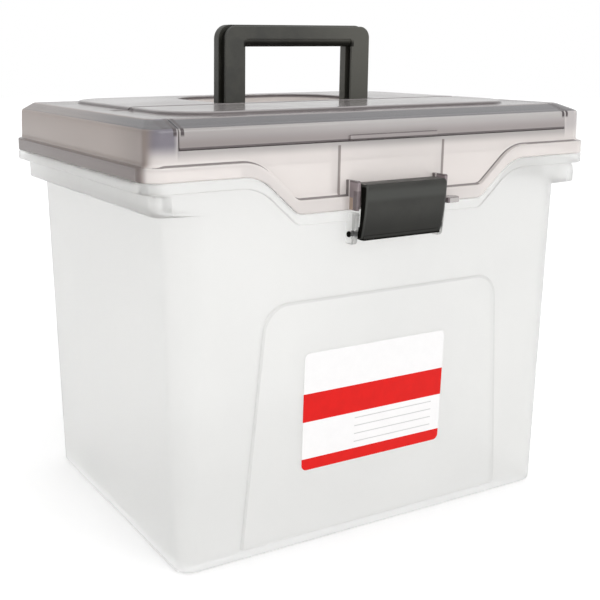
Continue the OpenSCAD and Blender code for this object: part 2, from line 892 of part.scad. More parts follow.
// Side view of the latch: bulged cover, hook at the top, web to the pivot barrel
module latch_profile() {
    difference() {
        intersection() {
            translate([cover_centre_y, cover_mid_z])
                circle(cover_bulge_r, $fn = 180);
            translate([cover_front - over, cover_bottom])
                square([10, cover_top - cover_bottom]);
        }
        translate([cover_centre_y, cover_mid_z])
            circle(cover_bulge_r - cover_t, $fn = 180);
    }
    difference() {
        translate([cover_front + cover_t / 2 + skin, latch_pivot_z + hook_reach - hook_plate_t])
            square([latch_y + hook_plate_t - cover_front - cover_t / 2, 2 * hook_plate_t]);
        translate([latch_y, latch_pivot_z])
            circle(hook_reach, $fn = 96);
    }
    translate([cover_front + cover_t + 1.2, cover_bottom])
        square([latch_y - cover_front - cover_t - 1.2, 3]);
    translate([latch_y, latch_pivot_z])
        circle(barrel_latch_r);
}

// Dark latch that pivots on the tub and hooks over the lid's catch
module latch() {
    color([0.31, 0.31, 0.29]) {
        intersection() {
            along_x(-latch_w / 2, latch_w / 2)
                latch_profile();
            along_y(cover_front - over, latch_y + barrel_latch_r + over)
                translate([0, (cover_top + cover_bottom) / 2])
                    plan(latch_w, cover_top - cover_bottom + 0.02, 1.8);
        }
        both_sides()
            translate([latch_w / 2 - over, latch_y, latch_pivot_z])
                rotate([0, 90, 0])
                    cylinder(r = trunnion_r, h = over + ear_gap + ear_t + 1.3);
    }
}

tub();
label();
lid();
organizer_flap();
organizer_tray();
handle();
latch();
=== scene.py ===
"""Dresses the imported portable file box: frosted tub, smoke-grey lid, flap, handle, latch and label.

Pieces are built in millimetres, and settle() scales them to metres. The places on the object that a
finish names are in millimetres too, times MM where a node takes metres.
"""

import json
import logging
import math
from dataclasses import dataclass
from enum import Enum
from typing import Callable, Optional, Sequence, Union

import bmesh
import bpy
from mathutils import Matrix, Vector

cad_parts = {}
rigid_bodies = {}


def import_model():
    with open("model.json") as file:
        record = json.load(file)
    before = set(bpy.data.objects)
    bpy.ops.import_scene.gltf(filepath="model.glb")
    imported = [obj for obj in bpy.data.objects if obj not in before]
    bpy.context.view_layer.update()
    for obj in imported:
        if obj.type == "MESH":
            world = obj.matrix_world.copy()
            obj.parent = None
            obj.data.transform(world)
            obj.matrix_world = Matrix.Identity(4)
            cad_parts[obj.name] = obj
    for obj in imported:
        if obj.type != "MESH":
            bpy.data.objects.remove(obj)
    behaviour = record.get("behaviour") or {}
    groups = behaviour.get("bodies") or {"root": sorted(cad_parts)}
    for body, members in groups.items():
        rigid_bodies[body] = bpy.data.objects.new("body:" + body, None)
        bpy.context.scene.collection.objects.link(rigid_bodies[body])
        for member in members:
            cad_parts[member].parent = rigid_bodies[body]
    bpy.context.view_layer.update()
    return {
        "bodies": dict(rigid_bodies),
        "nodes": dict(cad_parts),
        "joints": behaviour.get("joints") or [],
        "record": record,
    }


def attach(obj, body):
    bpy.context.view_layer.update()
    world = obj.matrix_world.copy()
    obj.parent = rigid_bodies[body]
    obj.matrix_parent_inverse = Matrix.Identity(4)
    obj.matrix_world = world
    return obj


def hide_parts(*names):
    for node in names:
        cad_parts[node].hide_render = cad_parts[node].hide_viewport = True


MM = 0.001
WHITE = (1.0, 1.0, 1.0, 1.0)
log = logging.getLogger("file_box")

# Pivots in Y and Z, and the middles of the two hinges in X
LATCH_AXIS = (-121.5, 211.3)
HINGE_AXIS = (125.5, 250.5)
FLAP_AXIS = (-20.5, 283.7)
HANDLE_AXIS = (0.0, 280.7)
HINGE_PLACES = (-100.0, 100.0)

# Depth of a quarter round halfway along it, as a share of its radius
HALFWAY = 0.3

# Distances below which points and edges of a finished piece are merged
WELD = 0.002
SLIVER = 0.001

# Least divisor at a corner of an inset outline, so that a sharp corner's point doesn't run away
CORNER_LIMIT = 0.35

Flat = tuple[float, float]
Point = tuple[float, float, float]
Colour = tuple[float, float, float]
Outline = list[Flat]


class Carve(Enum):
    """What a tool solid does to the piece that it meets."""

    ADD = "UNION"
    TAKE = "DIFFERENCE"


class Axis(Enum):
    """The direction in which an outline is pulled into a solid."""

    X = "x"
    Y = "y"
    Z = "z"


class Follow(Enum):
    """How the front of a ring follows the S-curve of the parting line."""

    LEVEL = "level"
    WAVE = "wave"
    UNDER = "under"


# Outlines in the plane


def rounded(corners: Sequence[Point], steps: int = 6) -> Outline:
    """Rounds the corners of a polygon.

    Args:
        corners: Two coordinates and the radius of each corner, in order.
        steps: Number of segments in each rounded corner.

    Returns:
        The points of the rounded outline.
    """
    points: Outline = []
    count = len(corners)
    for index, (across, up, radius) in enumerate(corners):
        here = Vector((across, up))
        if radius <= 0:
            points.append((across, up))
            continue
        to_before = (Vector(corners[index - 1][:2]) - here).normalized()
        to_after = (Vector(corners[(index + 1) % count][:2]) - here).normalized()
        half = to_before.angle(to_after) / 2
        centre = here + (to_before + to_after).normalized() * (radius / math.sin(half))
        start = here + to_before * (radius / math.tan(half)) - centre
        end = here + to_after * (radius / math.tan(half)) - centre
        first = math.atan2(start.y, start.x)
        turn = math.atan2(end.y, end.x) - first
        turn = (turn + math.pi) % (2 * math.pi) - math.pi
        for step in range(steps + 1):
            angle = first + turn * step / steps
            points.append((centre.x + radius * math.cos(angle), centre.y + radius * math.sin(angle)))
    return points


def rectangle(low: Flat, high: Flat, near: float, far: Optional[float] = None, steps: int = 6) -> Outline:
    """A rectangle with rounded corners.

    Args:
        low: Its lowest corner.
        high: Its highest corner.
        near: Radius of the two corners on its first edge.
        far: Radius of the other two, the same where it isn't given.
        steps: Number of segments in each corner.

    Returns:
        The rectangle's points.
    """
    last = near if far is None else far
    return rounded([(low[0], low[1], near), (high[0], low[1], near),
                    (high[0], high[1], last), (low[0], high[1], last)], steps)


def mirrored(corners: Sequence[Point], side: float) -> list[Point]:
    """Corners with their radii, mirrored to the left where the side is -1."""
    return [(side * across, up, radius) for across, up, radius in corners]


def arc(centre: Flat, radius: float, start: float, end: float, steps: int) -> Outline:
    """Points on an arc from one angle in degrees to another, both ends included."""
    angles = [math.radians(start + (end - start) * step / steps) for step in range(steps + 1)]
    return [(centre[0] + radius * math.cos(a), centre[1] + radius * math.sin(a)) for a in angles]


def latch_arc(radius: float, places: Sequence[float]) -> Outline:
    """Points in Y and Z over the latch's pivot, at one distance from it and at places in Y."""
    return [(y, LATCH_AXIS[1] + math.sqrt(radius ** 2 - (y - LATCH_AXIS[0]) ** 2)) for y in places]


def area_of(outline: Outline) -> float:
    """Signed area of an outline, positive where it runs counterclockwise."""
    pairs = zip(outline, outline[1:] + outline[:1])
    return sum(a[0] * b[1] - b[0] * a[1] for a, b in pairs) / 2


def inset(outline: Outline, depth: float) -> Outline:
    """Moves every edge of an outline inwards by the same depth.

    Args:
        outline: Points of a closed outline.
        depth: How far each edge moves in, below zero to move it out.

    Returns:
        As many points as the outline has.
    """
    side = 1.0 if area_of(outline) > 0 else -1.0
    moved: Outline = []
    count = len(outline)
    for index in range(count):
        before = Vector(outline[index - 1])
        here = Vector(outline[index])
        after = Vector(outline[(index + 1) % count])
        one = (here - before).normalized()
        two = (after - here).normalized()
        normal_one = Vector((-one.y, one.x)) * side
        normal_two = Vector((-two.y, two.x)) * side
        mean = normal_one + normal_two
        scale = depth / max(CORNER_LIMIT, (1 + normal_one.dot(normal_two)))
        moved.append((here.x + mean.x * scale, here.y + mean.y * scale))
    return moved


# Solids, built in millimetres


def lift(axis: Axis, across: float, up: float, along: float) -> Vector:
    """Places a point of an outline in space.

    Args:
        axis: Direction in which the outline is pulled.
        across: First coordinate of the outline.
        up: Second coordinate of the outline.
        along: Place along the axis.

    Returns:
        The point in space.
    """
    if axis is Axis.X:
        return Vector((along, across, up))
    if axis is Axis.Y:
        return Vector((across, along, up))
    return Vector((across, up, along))


def lay(outline: Outline, z: float) -> list[Vector]:
    """An outline laid level at a height."""
    return [Vector((x, y, z)) for x, y in outline]


def object_from(name: str, build: bmesh.types.BMesh) -> bpy.types.Object:
    """Turns a finished bmesh into an object with faces that point outwards.

    Args:
        name: Name of the object.
        build: The mesh to take over and free.

    Returns:
        The new object.
    """
    bmesh.ops.recalc_face_normals(build, faces=build.faces)
    mesh = bpy.data.meshes.new(name)
    build.to_mesh(mesh)
    build.free()
    piece = bpy.data.objects.new(name, mesh)
    bpy.context.scene.collection.objects.link(piece)
    return piece


def loft(name: str, rings: Sequence[Sequence[Vector]]) -> bpy.types.Object:
    """Joins rings of equal length by quads and closes the first and the last.

    Args:
        name: Name of the object.
        rings: Rings of points in order.

    Returns:
        A closed solid.
    """
    build = bmesh.new()
    rows = [[build.verts.new(point) for point in ring] for ring in rings]
    count = len(rows[0])
    for low, high in zip(rows, rows[1:]):
        for index in range(count):
            following = (index + 1) % count
            build.faces.new((low[index], low[following], high[following], high[index]))
    build.faces.new(list(reversed(rows[0])))
    build.faces.new(rows[-1])
    return object_from(name, build)


def stack(name: str, outline: Outline, levels: Sequence[Flat]) -> bpy.types.Object:
    """Lofts level copies of an outline, each moved inwards by a depth and laid at a height."""
    return loft(name, [lay(inset(outline, depth), z) for depth, z in levels])


def end_levels(place: float, radius: float, inwards: float) -> list[Flat]:
    """Sections of the rounding at one end of a pulled outline.

    Args:
        place: Where the end is.
        radius: Radius of the rounding, or 0.
        inwards: Direction from the end into the solid, 1 or -1.

    Returns:
        Place and depth of each section, from the end inwards.
    """
    if radius <= 0:
        return [(place, 0.0)]
    middle = radius * HALFWAY
    return [(place, radius), (place + inwards * middle, middle), (place + inwards * radius, 0.0)]


def prism(name: str, axis: Axis, outline: Outline, start: float, end: float,
          edge: float = 0.0, edge_end: Optional[float] = None) -> bpy.types.Object:
    """Pulls an outline along an axis, with small rounded edges at both ends.

    Args:
        name: Name of the object.
        axis: Direction of the pull.
        outline: Points of the outline.
        start: Place of the first end.
        end: Place of the second end.
        edge: Radius of the rounding at the first end.
        edge_end: Radius at the second end, the same where it isn't given.

    Returns:
        A closed solid.
    """
    last = edge if edge_end is None else edge_end
    rings = []
    for along, depth in end_levels(start, edge, 1.0) + end_levels(end, last, -1.0)[::-1]:
        section = inset(outline, depth) if depth else outline
        rings.append([lift(axis, across, up, along) for across, up in section])
    return loft(name, rings)


def block(name: str, low: Point, high: Point, edge: float = 0.0) -> bpy.types.Object:
    """A block from its lowest to its highest corner, with its edges rounded by a radius."""
    plan = rectangle(low[:2], high[:2], edge * 1.4, steps=3)
    return prism(name, Axis.Z, plan, low[2], high[2], edge)


def rod(name: str, centre: Flat, radius: float, start: float, end: float,
        edge: float = 0.0, steps: int = 32) -> bpy.types.Object:
    """A round bar along X about a centre in Y and Z, with its ends rounded by a radius."""
    return prism(name, Axis.X, arc(centre, radius, 0, 360 - 360 / steps, steps - 1), start, end, edge)


def carve(piece: bpy.types.Object, tools: Sequence[bpy.types.Object], how: Carve) -> bpy.types.Object:
    """Adds solids to a piece, or takes them away, and deletes them.

    Args:
        piece: The piece that is changed.
        tools: The solids, each closed.
        how: Whether they are added or taken away.

    Returns:
        The piece.
    """
    for tool in tools:
        modifier = piece.modifiers.new("carve", "BOOLEAN")
        modifier.operation = how.value
        modifier.solver = "EXACT"
        modifier.object = tool
    graph = bpy.context.evaluated_depsgraph_get()
    result = bpy.data.meshes.new_from_object(piece.evaluated_get(graph))
    piece.modifiers.clear()
    worn = piece.data
    piece.data = result
    bpy.data.meshes.remove(worn)
    for tool in tools:
        spent = tool.data
        bpy.data.objects.remove(tool)
        bpy.data.meshes.remove(spent)
    return piece


def both_sides(make: Callable[[float], bpy.types.Object]) -> list[bpy.types.Object]:
    """Makes the left and the right solid with a function that takes the side, -1 or 1."""
    return [make(-1.0), make(1.0)]


def span(side: float, near: float, far: float) -> Flat:
    """Lowest and highest X of something between two distances on one side."""
    return (near, far) if side > 0 else (-far, -near)


def paired_blocks(name: str, near: Point, far: Point, edge: float = 0.0) -> list[bpy.types.Object]:
    """A block on the right and its mirror image on the left.

    Args:
        name: Name of the objects.
        near: Lowest corner of the right block.
        far: Its highest corner.
        edge: Radius of the edges.

    Returns:
        Both blocks.
    """
    def one(side: float) -> bpy.types.Object:
        """Builds the block of one side."""
        start, end = span(side, near[0], far[0])
        return block(name, (start, *near[1:]), (end, *far[1:]), edge)

    return both_sides(one)


def paired_rods(name: str, centre: Flat, radius: float, near: float, far: float,
                edge: float = 0.0, steps: int = 32) -> list[bpy.types.Object]:
    """A bar on the right between two distances from the middle, and its mirror image."""
    return both_sides(lambda side: rod(name, centre, radius, *span(side, near, far), edge, steps))


def settle(piece: bpy.types.Object, sharp: float = 38.0) -> bpy.types.Object:
    """Scales a piece to metres and gives it smooth shading with clean creases.

    Args:
        piece: A piece built in millimetres.
        sharp: Angle in degrees above which an edge stays sharp.

    Returns:
        The piece.
    """
    build = bmesh.new()
    build.from_mesh(piece.data)
    bmesh.ops.remove_doubles(build, verts=build.verts, dist=WELD)
    bmesh.ops.dissolve_degenerate(build, edges=build.edges, dist=SLIVER)
    build.transform(Matrix.Scale(MM, 4))
    build.to_mesh(piece.data)
    build.free()
    piece.data.shade_smooth()
    piece.data.set_sharp_from_angle(angle=math.radians(sharp))
    normals = piece.modifiers.new("even_normals", "WEIGHTED_NORMAL")
    normals.keep_sharp = True
    normals.weight = 50
    return piece


def soften(piece: bpy.types.Object, width: float, angle: float = 40.0) -> None:
    """Rounds the sharp edges of a piece.

    Args:
        piece: A finished piece, in metres.
        width: Width of the rounding in millimetres.
        angle: Angle in degrees above which an edge is rounded.
    """
    rounding = piece.modifiers.new("soft_edges", "BEVEL")
    rounding.width = width * MM
    rounding.segments = 2
    rounding.limit_method = "ANGLE"
    rounding.angle_limit = math.radians(angle)
    rounding.use_clamp_overlap = True
    piece.modifiers.move(len(piece.modifiers) - 1, 0)


def dress(piece: bpy.types.Object, material: bpy.types.Material) -> None:
    """Gives a piece one material in all its slots.

    Args:
        piece: The piece.
        material: The material.
    """
    if not piece.material_slots:
        piece.data.materials.append(material)
    for slot in piece.material_slots:
        slot.link = "OBJECT"
        slot.material = material


# Forms that several pieces or finishes share


@dataclass(frozen=True)
class Wave:
    """The S-curve of the parting line along the front of tub and lid.

    Attributes:
        drop: How far the line dips at the middle.
        half: Half the width of the low, level part.
        slope: Slope between the two levels in degrees.
        top_radius: Radius of the curve at the upper level.
        low_radius: Radius of the curve at the lower level.
        corner_steps: Number of segments in each corner of a ring.
    """

    drop: float = 25.0
    half: float = 70.0
    slope: float = 42.0
    top_radius: float = 30.0
    low_radius: float = 8.0
    corner_steps: int = 12

    @property
    def end(self) -> float:
        """Distance from the middle at which the line is level again.

        Returns:
            The distance.
        """
        radii = self.top_radius + self.low_radius
        angle = math.radians(self.slope)
        run = (self.drop - radii * (1 - math.cos(angle))) / math.sin(angle)
        return self.half + radii * math.sin(angle) + run * math.cos(angle)

    def dip(self, x: float) -> float:
        """How far the parting line lies below its upper level.

        Args:
            x: Place along the front.

        Returns:
            The depth of the dip there.
        """
        away = abs(x)
        sine = math.sin(math.radians(self.slope))
        if away <= self.half:
            return self.drop
        if away >= self.end:
            return 0.0
        if away <= self.half + self.low_radius * sine:
            return self.drop - self.low_radius + math.sqrt(self.low_radius ** 2 - (away - self.half) ** 2)
        if away >= self.end - self.top_radius * sine:
            return self.top_radius - math.sqrt(self.top_radius ** 2 - (self.end - away) ** 2)
        top = self.end - self.top_radius * sine
        rest = self.top_radius * (1 - math.cos(math.radians(self.slope)))
        return rest + (top - away) * math.tan(math.radians(self.slope))

    def columns(self) -> list[float]:
        """Places along the front at which every ring has a point.

        Returns:
            The places, from left to right.
        """
        def share(part: float) -> float:
            """Sine of a part of the slope's angle."""
            return math.sin(math.radians(self.slope * part))

        low = [self.half + self.low_radius * share(k / 6) for k in range(7)]
        high = [self.end - self.top_radius * share(1 - k / 9) for k in range(10)]
        middle = [low[-1] + (high[0] - low[-1]) * k / 3 for k in (1, 2)]
        right = [0.0, 18.0, 36.0, 54.0] + low + middle + high + [117.5]
        return [-x for x in reversed(right[1:])] + right

    def ring(self, half_x: float, front: float, back: float, radius: float, z: float,
             follow: Follow = Follow.LEVEL, edge: float = 0.0, rear: Optional[float] = None) -> list[Vector]:
        """One ring of a rounded rectangle whose front may follow the S-curve.

        Args:
            half_x: Half its width.
            front: Its front in Y.
            back: Its back in Y.
            radius: Radius of its corners.
            z: Its height, at the upper level of the S-curve.
            follow: How its front follows the curve.
            edge: For Follow.UNDER, the height that the front stays below, less the dip.
            rear: Radius of its two rear corners, the same where it isn't given.

        Returns:
            The ring's points, counterclockwise from the front's left end.
        """
        points: list[Vector] = []
        for x in self.columns():
            level = z
            if follow is Follow.WAVE:
                level = z - self.dip(x)
            elif follow is Follow.UNDER:
                level = min(z, edge - self.dip(x))
            points.append(Vector((x, front, level)))
        behind = radius if rear is None else rear
        corners = [(half_x, front, -90, radius), (half_x, back, 0, behind), (-half_x, back, 90, behind),
                   (-half_x, front, 180, radius)]
        for x, y, start, turn in corners:
            centre = (x - math.copysign(turn, x), y - math.copysign(turn, y))
            points += lay(arc(centre, turn, start, start + 90, self.corner_steps), z)
        return points


@dataclass(frozen=True)
class Arch:
    """The raised arch on the tub's front wall.

    Attributes:
        low: Height of its foot.
        half_low: Half its width at the foot.
        half_top: Half its width at the top.
        top: Height of its top.
        foot_corner: Radius of its lower corners.
        corner: Radius of its upper corners.
        lean: How fast its sides draw in with the height.
    """

    low: float = 7.5
    half_low: float = 109.5
    half_top: float = 94.2
    top: float = 171.0
    foot_corner: float = 3.0
    corner: float = 17.0
    lean: float = 0.0936

    def outline(self) -> Outline:
        """Front view of the arch.

        Returns:
            The arch's points.
        """
        foot, corner = self.foot_corner, self.corner
        return rounded([(-self.half_low, self.low, foot), (self.half_low, self.low, foot),
                        (self.half_top, self.top, corner), (-self.half_top, self.top, corner)], 10)


@dataclass(frozen=True)
class Sheet:
    """Place and size of the label on the front wall.

    Attributes:
        left: Its left edge.
        low: Its lower edge.
        width: Its width.
        height: Its height.
        corner: Radius of its corners.
    """

    left: float = -64.5
    low: float = 54.5
    width: float = 115.0
    height: float = 81.0
    corner: float = 4.0

    def outline(self) -> Outline:
        """Front view of the sheet."""
        high = (self.left + self.width, self.low + self.height)
        return rectangle((self.left, self.low), high, self.corner, steps=8)


@dataclass(frozen=True)
class Dome:
    """Heights of the lid's top, and the raised field that lid and flap share.

    Attributes:
        shoulder: Height at which the walls turn to the slope.
        top: Height of the level top.
        field: Height of the raised field.
        half: Half the field's width.
        front: The field's front.
        back: The field's back.
        front_corner: Radius of its front corners.
        rear_corner: Radius of its rear corners.
        edge: Depth and height of the sections of its rounded edge.
    """

    shoulder: float = 281.0
    top: float = 286.0
    field: float = 288.0
    half: float = 139.0
    front: float = -88.3
    back: float = 104.3
    front_corner: float = 35.0
    rear_corner: float = 34.0
    edge: tuple[Flat, ...] = ((0.0, 286.2), (0.5, 286.9), (1.2, 287.5), (2.0, 287.85), (3.0, 288.0))

    def levels(self) -> list[Flat]:
        """Depth and height of each section of the field, from inside the top upwards."""
        return [(0.0, self.top - 1.2), *self.edge]

    def outline(self) -> Outline:
        """Plan of the field."""
        return rectangle((-self.half, self.front), (self.half, self.back), self.front_corner,
                         self.rear_corner, 12)


# Shader toolkit

Value = Union[float, int, "Signal"]


class Signal:
    """A number that runs through a node tree, on which Python's operators work."""

    def __init__(self, graph: "Graph", socket: bpy.types.NodeSocket) -> None:
        """Wraps an output socket of a graph."""
        self.graph = graph
        self.socket = socket

    def __add__(self, other: Value) -> "Signal":
        """Sum."""
        return self.graph.maths("ADD", self, other)

    def __radd__(self, other: Value) -> "Signal":
        """Sum with a plain number on the left."""
        return self.graph.maths("ADD", other, self)

    def __sub__(self, other: Value) -> "Signal":
        """Difference."""
        return self.graph.maths("SUBTRACT", self, other)

    def __rsub__(self, other: Value) -> "Signal":
        """Difference with a plain number on the left."""
        return self.graph.maths("SUBTRACT", other, self)

    def __mul__(self, other: Value) -> "Signal":
        """Product."""
        return self.graph.maths("MULTIPLY", self, other)

    def __rmul__(self, other: Value) -> "Signal":
        """Product with a plain number on the left."""
        return self.graph.maths("MULTIPLY", other, self)

    def __pow__(self, other: Value) -> "Signal":
        """Power."""
        return self.graph.maths("POWER", self, other)

    def __rpow__(self, other: Value) -> "Signal":
        """Power of a plain number."""
        return self.graph.maths("POWER", other, self)

    def __or__(self, other: Value) -> "Signal":
        """The greater of two values, so one mask or the other."""
        return self.graph.maths("MAXIMUM", self, other)

    def __ror__(self, other: Value) -> "Signal":
        """The greater of a plain number and this."""
        return self.graph.maths("MAXIMUM", other, self)

    def __gt__(self, other: Value) -> "Signal":
        """One where this is the greater, else zero."""
        return self.graph.maths("GREATER_THAN", self, other)

    def __lt__(self, other: Value) -> "Signal":
        """One where this is the smaller, else zero."""
        return self.graph.maths("LESS_THAN", self, other)

    def __abs__(self) -> "Signal":
        """Size without the sign."""
        return self.graph.maths("ABSOLUTE", self)


class Graph:
    """A node tree with one method for every kind of node."""

    def __init__(self, tree: bpy.types.NodeTree, end: str) -> None:
        """Empties a tree and gives it its output node.

        Args:
            tree: The tree.
            end: Type of the output node.
        """
        self.tree = tree
        self.tree.nodes.clear()
        self.end = self.node(end)

    def node(self, kind: str, settings: Optional[dict] = None,
             sockets: Optional[dict] = None) -> bpy.types.Node:
        """Adds a node.

        Args:
            kind: The node's type.
            settings: Its settings, which are set first.
            sockets: What goes to each input, by name or number: a value, a Signal, an output socket, or
                a node for its first output.

        Returns:
            The node.
        """
        made = self.tree.nodes.new(kind)
        for key, value in (settings or {}).items():
            setattr(made, key, value)
        for key, value in (sockets or {}).items():
            self.feed(made.inputs[key], value)
        return made

    def feed(self, target: bpy.types.NodeSocket, value: object) -> None:
        """Sets an input to a value, or links it to a Signal, a socket or a node's first output.

        Args:
            target: The input.
            value: What it is set or linked to.
        """
        if isinstance(value, Signal):
            self.tree.links.new(value.socket, target)
        elif isinstance(value, bpy.types.NodeSocket):
            self.tree.links.new(value, target)
        elif isinstance(value, bpy.types.Node):
            self.tree.links.new(value.outputs[0], target)
        else:
            target.default_value = value

    def maths(self, operation: str, one: Value, two: Value = 0.0) -> Signal:
        """Adds a Math node."""
        made = self.node("ShaderNodeMath", {"operation": operation}, {0: one, 1: two})
        return Signal(self, made.outputs[0])

    def rays(self, first: str, second: Optional[str] = None) -> Signal:
        """One for rays of one kind or of either of two kinds, by the names of Light Path's outputs.

        Args:
            first: Name of one output.
            second: Name of the other, if there is one.

        Returns:
            The mask.
        """
        path = self.node("ShaderNodeLightPath")
        seen = Signal(self, path.outputs[first])
        return seen if second is None else seen | Signal(self, path.outputs[second])

    def either(self, factor: Value, one: bpy.types.Node, two: bpy.types.Node) -> bpy.types.Node:
        """Mixes two shaders by the share of the second."""
        return self.node("ShaderNodeMixShader", None, {0: factor, 1: one, 2: two})


class Recipe(Graph):
    """The node tree of one material."""

    def __init__(self, name: str) -> None:
        """Starts an empty material of a name.

        Args:
            name: The material's name.
        """
        self.material = bpy.data.materials.new(name)
        self.material.use_nodes = True
        super().__init__(self.material.node_tree, "ShaderNodeOutputMaterial")

    def space(self) -> bpy.types.NodeSocket:
        """The point on the object, in metres."""
        return self.node("ShaderNodeTexCoord").outputs["Object"]

    def stretched(self, factors: Point) -> bpy.types.NodeSocket:
        """The object's own space, scaled differently along each axis."""
        made = self.node("ShaderNodeVectorMath", {"operation": "MULTIPLY"}, {0: self.space(), 1: factors})
        return made.outputs[0]

    def noise(self, size: float, detail: float, roughness: float,
              vector: Optional[bpy.types.NodeSocket] = None) -> Signal:
        """A cloudy pattern.

        Args:
            size: Size of its patches in millimetres.
            detail: Number of finer layers.
            roughness: Strength of the finer layers.
            vector: Where it is looked up, the object's own space where not given.

        Returns:
            The pattern, about 0.2 to 0.8.
        """
        made = self.node("ShaderNodeTexNoise", None, {
            "Vector": vector or self.space(), "Scale": 1 / (size * MM), "Detail": detail,
            "Roughness": roughness})
        return Signal(self, made.outputs[0])

    def ease(self, value: Signal, start: float, end: float, low: float = 0.0, high: float = 1.0) -> Signal:
        """Turns one range of a value softly into another.

        Args:
            value: The value.
            start: Where the change begins.
            end: Where the change ends.
            low: Result before the start.
            high: Result after the end.

        Returns:
            The eased value.
        """
        made = self.node("ShaderNodeMapRange", {"interpolation_type": "SMOOTHSTEP", "clamp": True}, {
            "Value": value, "From Min": start, "From Max": end, "To Min": low, "To Max": high})
        return Signal(self, made.outputs[0])

    def fade(self, value: Signal, start: float, end: float, low: float = 0.0, high: float = 1.0) -> Signal:
        """Eases a coordinate in metres between two places in millimetres."""
        return self.ease(value, start * MM, end * MM, low, high)

    def within(self, value: Signal, low: float, high: float, soft: float) -> Signal:
        """One between two places in millimetres, with soft edges of one width outside them."""
        return self.fade(value, low - soft, low) * self.fade(value, high, high + soft, 1.0, 0.0)

    def uneven(self, cloud: Signal, mean: float, less: float, more: float) -> Signal:
        """A roughness round a mean that follows a cloudy pattern."""
        return self.ease(cloud, 0.3, 0.7, mean - less, mean + more)

    def blend(self, factor: Value, one: Union[Colour, bpy.types.NodeSocket],
              two: Union[Colour, bpy.types.NodeSocket]) -> bpy.types.NodeSocket:
        """Mixes two colours.

        Args:
            factor: Share of the second colour.
            one: First colour.
            two: Second colour.

        Returns:
            The mixed colour's socket.
        """
        # A colour socket takes four numbers
        first, second = ((*c, 1.0) if isinstance(c, tuple) else c for c in (one, two))
        made = self.node("ShaderNodeMix", {"data_type": "RGBA"}, {0: factor, 6: first, 7: second})
        return made.outputs[2]

    def bump(self, height: Signal, strength: float, depth: float,
             below: Optional[bpy.types.NodeSocket] = None) -> bpy.types.NodeSocket:
        """Turns a height into a normal.

        Args:
            height: The height, 0 to 1.
            strength: Strength of the effect.
            depth: Depth in millimetres.
            below: A normal that this one is laid over.

        Returns:
            The normal's socket.
        """
        sockets = {"Strength": strength, "Distance": depth * MM, "Height": height}
        if below is not None:
            sockets["Normal"] = below
        return self.node("ShaderNodeBump", None, sockets).outputs[0]

    def principled(self, sockets: dict) -> bpy.types.Node:
        """Adds the Principled shader with what goes to its inputs."""
        return self.node("ShaderNodeBsdfPrincipled", None, sockets)

    def finish(self, surface: bpy.types.Node, inside: Optional[bpy.types.Node] = None) -> bpy.types.Material:
        """Joins the last shaders to the output.

        Args:
            surface: Shader of the surface.
            inside: Shader of what lies inside, if there is one.

        Returns:
            The finished material.
        """
        self.feed(self.end.inputs["Surface"], surface)
        if inside is not None:
            self.feed(self.end.inputs["Volume"], inside)
        return self.material


class Spot:
    """The point of the object that is being shaded, as coordinates in metres."""

    def __init__(self, recipe: Recipe) -> None:
        """Splits the object's own space into three signals."""
        parts = recipe.node("ShaderNodeSeparateXYZ", None, {0: recipe.space()})
        self.across, self.along, self.up = (Signal(recipe, socket) for socket in parts.outputs)

    @property
    def away(self) -> Signal:
        """Distance from the middle, to the left or the right."""
        return abs(self.across)


def scaled(colour: Colour, factor: float) -> Colour:
    """A colour made lighter or darker."""
    return tuple(level * factor for level in colour)


# Finishes

Layer = tuple[Signal, Union[Colour, bpy.types.NodeSocket]]


